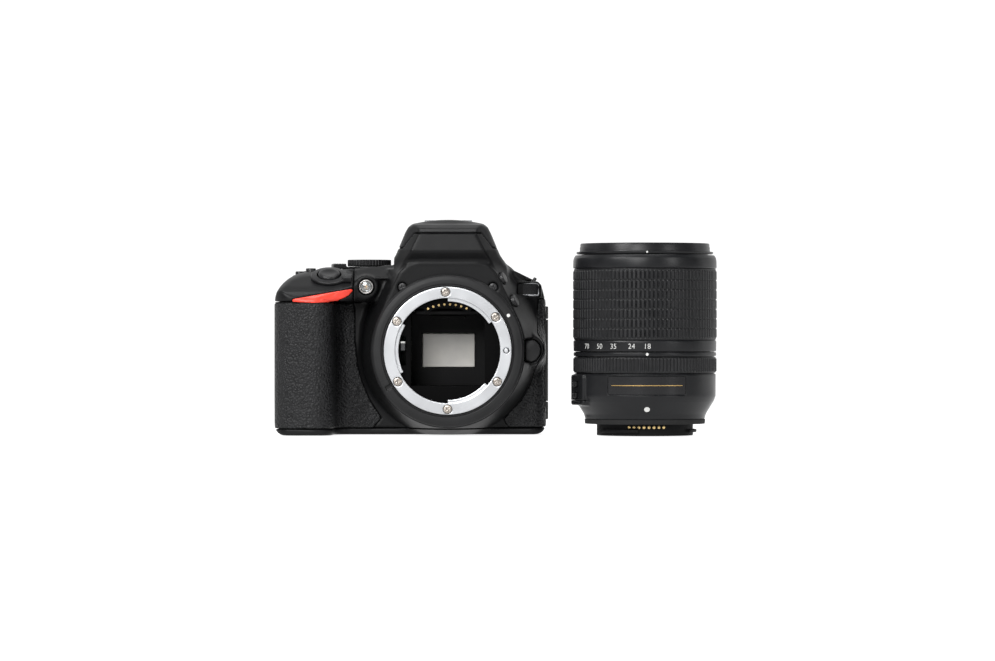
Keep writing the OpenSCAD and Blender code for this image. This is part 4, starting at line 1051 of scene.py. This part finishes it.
solid("bayonet_tube_form", (-23.8, -23.8, -0.4), (23.8, 23.8, 6.0), 0.24, bayonet_field, "inner",
      "zoom_lens", "mount_steel", origin=LENS)
pins = []
for i in range(8):
    a = FRONT + (i - 3.5) * 0.102
    o = lathe("pin", [(0, -0.5), (0.66, -0.5), (0.66, 0.1), (0.45, 0.3), (0, 0.36)], (0, 0, 0), "gold",
              "zoom_lens", "contact_gold", n=20, hollow=False)
    m = Matrix.Rotation(a + math.pi / 2, 4, "Z") @ turned("X", 90)
    m.translation = Vector((LX + 22.0 * math.cos(a), LY + 22.0 * math.sin(a), 3.9))
    pins.append(place(o, m))
put(join(pins, "lens_contacts"), "gold", "zoom_lens", "contact_gold")


def block_field(g):
    return both(both(radius(g) - 22.0, 21.0 - radius(g), 0.1),
                box_sdf(g, (-9.0, -24, 3.0), (9.0, -18, 4.9), 0.5), 0.1)


solid("lens_contact_block", (-9.4, -23.0, 2.7), (9.4, -19.5, 5.4), 0.16, block_field, "inner", "zoom_lens",
      "barrel_black", origin=LENS)
lathe("rear_element_form", [(12.45, 1.9), (17.8, 1.9), (17.8, 7.9), (12.45, 7.9)], LENS, "inner",
      "zoom_lens", "barrel_black", "rear_element", bevel=0.3, n=96)
lathe("rear_glass_form", [(0, 3.2)] + [(12.4 * s, 3.2 + 0.9 * s * s) for s in (0.25, 0.5, 0.75, 1.0)]
      + [(12.4, 6.4), (0, 6.4)], LENS, "glass", "zoom_lens", "front_glass", n=96, hollow=False)


def on_barrel(o, radius, angle, height):
    """Wraps a flat mesh, drawn in mm round its own origin, on the lens at an angle."""
    m = o.data
    co = np.zeros(len(m.vertices) * 3, np.float32)
    m.vertices.foreach_get("co", co)
    co = co.reshape(-1, 3) * 1000
    a = angle + co[:, 0] / radius
    r = radius + co[:, 2]
    out = np.stack([LX + r * np.cos(a), LY + r * np.sin(a), height + co[:, 1]], 1) / 1000
    m.vertices.foreach_set("co", out.astype(np.float32).ravel())
    m.update()
    return o


def numeral(text, size):
    c = bpy.data.curves.new("numeral", "FONT")
    c.body = text
    c.size = size / 1000
    c.align_x, c.align_y = "CENTER", "CENTER"
    c.extrude = 0.00004
    c.offset = -0.00004
    c.resolution_u = 4
    o = bpy.data.objects.new("numeral", c)
    scene.collection.objects.link(o)
    bpy.context.view_layer.update()
    m = bpy.data.meshes.new_from_object(o.evaluated_get(bpy.context.evaluated_depsgraph_get()))
    bpy.data.objects.remove(o)
    n = bpy.data.objects.new("numeral_" + text, m)
    scene.collection.objects.link(n)
    return n


digits = [on_barrel(numeral(tx, 3.3), 32.1, FRONT - math.radians(dg), 39.9)
          for tx, dg in (("18", 0), ("24", 12.5), ("35", 27.7), ("50", 40.7), ("70", 55.4))]
put(join(digits, "focal_length_scale"), "white", "zoom_ring", "lever_white")


def dot(name, r, radius, angle, height, body, tilt=0.0):
    a = np.linspace(0, 2 * math.pi, 28, endpoint=False)
    v = [(r * math.cos(q), r * math.sin(q), 0.07) for q in a] + [(r * math.cos(q), r * math.sin(q), -0.1)
                                                                 for q in a]
    f = [tuple(range(28)),
         tuple(range(55, 27, -1))] + [(i, i + 28, (i + 1) % 28 + 28, (i + 1) % 28) for i in range(28)]
    o = mesh_object(name, v, f, False)
    if tilt:
        place(o, Matrix.Rotation(tilt, 4, "X"))
    on_barrel(o, radius, angle, height)
    return put(o, "white", body, "lever_white")


dot("index_dot", 0.62, 32.0, FRONT, 36.45, "zoom_lens")
dot("hood_dot", 0.42, 30.72, FRONT, 81.8, "inner_barrel")
dot("mount_dot", 1.25, 28.85, FRONT, 12.0, "zoom_lens", tilt=math.radians(31))

# blank plate on the barrel with one plain line
PLATE_Z, N_U, N_V, N_LINE = 22.6, 48, 6, 40
pv = [(-18.3 + 36.6 * i / N_U, -4.05 + 8.1 * j / N_V, h)
      for h in (0.0, -0.25) for i in range(N_U + 1) for j in range(N_V + 1)]
row, sheet = N_V + 1, (N_V + 1) * (N_U + 1)
pf = []
for i in range(N_U):
    for j in range(N_V):
        q = (i * row + j, (i + 1) * row + j, (i + 1) * row + j + 1, i * row + j + 1)
        pf += [q, tuple(k + sheet for k in reversed(q))]
inlay = mesh_object("lens_plate", pv, pf, True, 40)
put(on_barrel(inlay, 31.35, FRONT, PLATE_Z), "plate", "zoom_lens", "barrel_black")
v = [(-16.5 + 33 * i / N_LINE, sy, 0.04) for i in range(N_LINE + 1) for sy in (-0.14, 0.14)]
line = mesh_object("plate_line", v, [(2 * i, 2 * i + 2, 2 * i + 3, 2 * i + 1) for i in range(N_LINE)], False)
put(on_barrel(line, 31.4, FRONT, PLATE_Z), "goldline", "zoom_lens", "lever_white")


def switch_tab(g, zc):
    base = box_sdf(g, (31.95, -2.8, zc - 1.1), (32.9, 0.8, zc + 1.1), 0.2)
    tab = box_sdf(g, (32.4, -2.4, zc - 0.85), (34.0, 0.4, zc + 0.85), 0.3)
    groove = np.abs((g[1] + 1.0) % 0.8 - 0.4) - 0.12
    return either(base, less(tab, np.maximum(groove, 33.75 - g[0]), 0.05), 0.2)


for name, zc in SWITCHES.items():
    solid(name + "_form", (31.5, -3.2, zc - 1.6), (34.5, 1.2, zc + 1.6), 0.11, partial(switch_tab, zc=zc),
          "button", name, "button_black", name, origin=LENS, turn=rot("Z", PANEL))

# ---------------------------------------------------------------- mirrors: dark holders with silvered glass


def mirror(name, lo, hi, frame_box, pin, tray, glass, h):
    """A holder on its hinge pin, open at the top for the glass. Boxes are (low corner, high corner)."""
    solid(name + "_holder", lo, hi, h[0],
          lambda g: less(either(box_sdf(g, *frame_box), rod(g, "x", *pin, 0.1), 0.3), box_sdf(g, *tray), 0.1),
          "inner", NAMES[name], "mirror_silver", NAMES[name])
    solid(name + "_glass", glass[2], glass[3], h[1], lambda g: box_sdf(g, glass[0], glass[1], glass[4]),
          "mirror", NAMES[name], "mirror_silver")


NAMES = {"mirror": "reflex_mirror", "sub_mirror": "sub_mirror"}
mirror("mirror", (-16, -27.5, 53.6), (16, 7, 57), ((-14.6, -26, 54.3), (14.6, 4.7, 56.1), 0.5),
       ((5.2, 55.2), 0.8, -18.7, 18.7), ((-13.4, -25, 55.5), (13.4, 3.2, 58), 0.3),
       ((-13.3, -24.9, 55.4), (13.3, 3.1, 56.0), (-14, -26, 54.9), (14, 4, 56.4), 0.15), (0.3, 0.24))
mirror("sub_mirror", (-9, -11.5, 52), (9, 3, 54.6), ((-8, -9.4, 53.0), (8, 2, 53.9), 0.3),
       ((-10, 53.3), 0.75, -8, 8), ((-7.2, -8.4, 53.5), (7.2, 1.4, 54.5), 0.2),
       ((-7.1, -8.3, 53.4), (7.1, 1.3, 53.75), (-7.6, -9, 53.1), (7.6, 2, 54.1), 0.1), (0.24, 0.2))


def carry(node, mat, width=0.25, segments=2):
    """A CAD node whose shape is right: rounded edges and a node material."""
    o = N[node]
    o.data.materials.clear()
    o.data.materials.append(M[mat])
    for p in o.data.polygons:
        p.material_index = 0
    weld = o.modifiers.new("weld", "WELD")
    weld.merge_threshold = 0.000005
    b = o.modifiers.new("edges", "BEVEL")
    b.width = width / 1000
    b.segments = segments
    b.limit_method = "ANGLE"
    b.angle_limit = math.radians(35)
    b.harden_normals = True
    return o


for node, mat, width in (("thumb_rubber", "leather", 0.5), ("mirror_box", "flock", 0.15),
                         ("contact_pins", "gold", 0.12), ("shutter_frame", "shutter", 0.15),
                         ("shutter_curtain", "shutter", 0.08), ("circuit_boards", "board", 0.1),
                         ("battery", "battery", 0.5), ("memory_card", "card", 0.25),
                         ("focusing_screen", "clear", 0.1), ("pentamirror", "silvered", 0.2),
                         ("eyepiece_lens", "clear", 0.3), ("eyecup", "rubber", 0.8),
                         ("hot_shoe", "shoe", 0.15), ("tripod_socket", "shoe", 0.25),
                         ("aperture_lever", "lever_dark", 0.3), ("monitor_housing", "cover", 0.7),
                         ("monitor_screen", "screen", 0.15), ("image_sensor", "ceramic", 0.15)):
    carry(node, mat, width)
solid("sensor_window", (-12.5, 11.6, 29.5), (12.5, 12.9, 46.5), 0.2,
      lambda g: box_sdf(g, (-11.9, 12.0, 30.3), (11.9, 12.6, 45.7), 0.15), "sensor", "camera_body",
      "sensor_glass")
solid("aperture_lever_tab", (-21.4, -32.7, 40.8), (-18.6, -28.6, 43), 0.16,
      lambda g: box_sdf(g, (-21.0, -31.7, 41.2), (-18.95, -29.2, 42.15), 0.3), "lever", "aperture_lever",
      "lever_white")

# ---------------------------------------------------------------- paper sweep, lights and camera


def stage_mesh(name, verts, faces, mat):
    m = bpy.data.meshes.new(name)
    m.from_pydata(verts, [], faces)
    m.update()
    m.polygons.foreach_set("use_smooth", np.ones(len(m.polygons), bool))
    o = bpy.data.objects.new(name, m)
    scene.collection.objects.link(o)
    m.materials.append(mat)
    return o


paper = material("studio_paper", (0.3, 0.3, 0.3), 0.8, spec=0.1, mottle=0.01, grain=(400, 0.02, 0.05))
paper.node_tree.nodes["Principled BSDF"].inputs["Emission Color"].default_value = (1, 1, 1, 1)
paper.node_tree.nodes["Principled BSDF"].inputs["Emission Strength"].default_value = 0.86
depth = [(-3.0, -0.0004), (1.2, -0.0004)] + [(1.2 + 0.8 * math.sin(a), 0.8 - 0.8 * math.cos(a) - 0.0004)
                                             for a in np.radians(np.linspace(8, 90, 11))] + [(2.0, 3.5)]
verts, faces = [], []
for i, (py, pz) in enumerate(depth):
    verts += [(-4, py, pz), (4, py, pz)]
    if i:
        faces.append((2 * i - 2, 2 * i - 1, 2 * i + 1, 2 * i))
stage_mesh("studio_sweep", verts, faces, paper)

world = bpy.data.worlds.new("studio")
scene.world = world
world.use_nodes = True
world.node_tree.nodes["Background"].inputs["Color"].default_value = (1, 1, 1, 1)
world.node_tree.nodes["Background"].inputs["Strength"].default_value = 0.1


def softbox(name, at, look, size, power):
    data = bpy.data.lights.new(name, "AREA")
    data.shape = "RECTANGLE"
    data.size, data.size_y = size
    data.energy = power
    o = bpy.data.objects.new(name, data)
    o.location = at
    o.rotation_euler = (Vector(look) - Vector(at)).to_track_quat("-Z", "Y").to_euler()
    scene.collection.objects.link(o)
    return o


for light in (("front", (-0.3, -1.45, 0.62), (0, 0, 0.05), (0.5, 0.6), 17.0),
              ("key", (-0.75, -0.85, 0.8), (-0.02, 0, 0.05), (0.3, 0.5), 13.5),
              ("fill", (0.9, -0.9, 0.4), (0.03, 0, 0.05), (0.25, 0.6), 4.5),
              ("top", (0.0, -0.1, 0.95), (0, 0, 0.05), (0.8, 0.35), 8.0),
              ("rim_left", (-0.8, 0.15, 0.35), (-0.05, 0, 0.05), (0.2, 0.6), 0.6),
              ("rim_right", (0.85, 0.2, 0.3), (0.05, 0, 0.05), (0.2, 0.6), 0.6)):
    softbox(*light)

LENS_MM = 159.3
EYE = (0.0223, -2.0, 0.0470)          # in metres, level with the middle of the body
cam = bpy.data.cameras.new("camera")
cam.sensor_width = 36
cam.lens = LENS_MM
cam.clip_start = 0.01
cam_o = bpy.data.objects.new("camera", cam)
cam_o.location = EYE
cam_o.rotation_euler = (math.radians(90), 0, 0)
scene.collection.objects.link(cam_o)
scene.camera = cam_o
scene.view_settings.view_transform = "Standard"
scene.view_settings.look = "None"
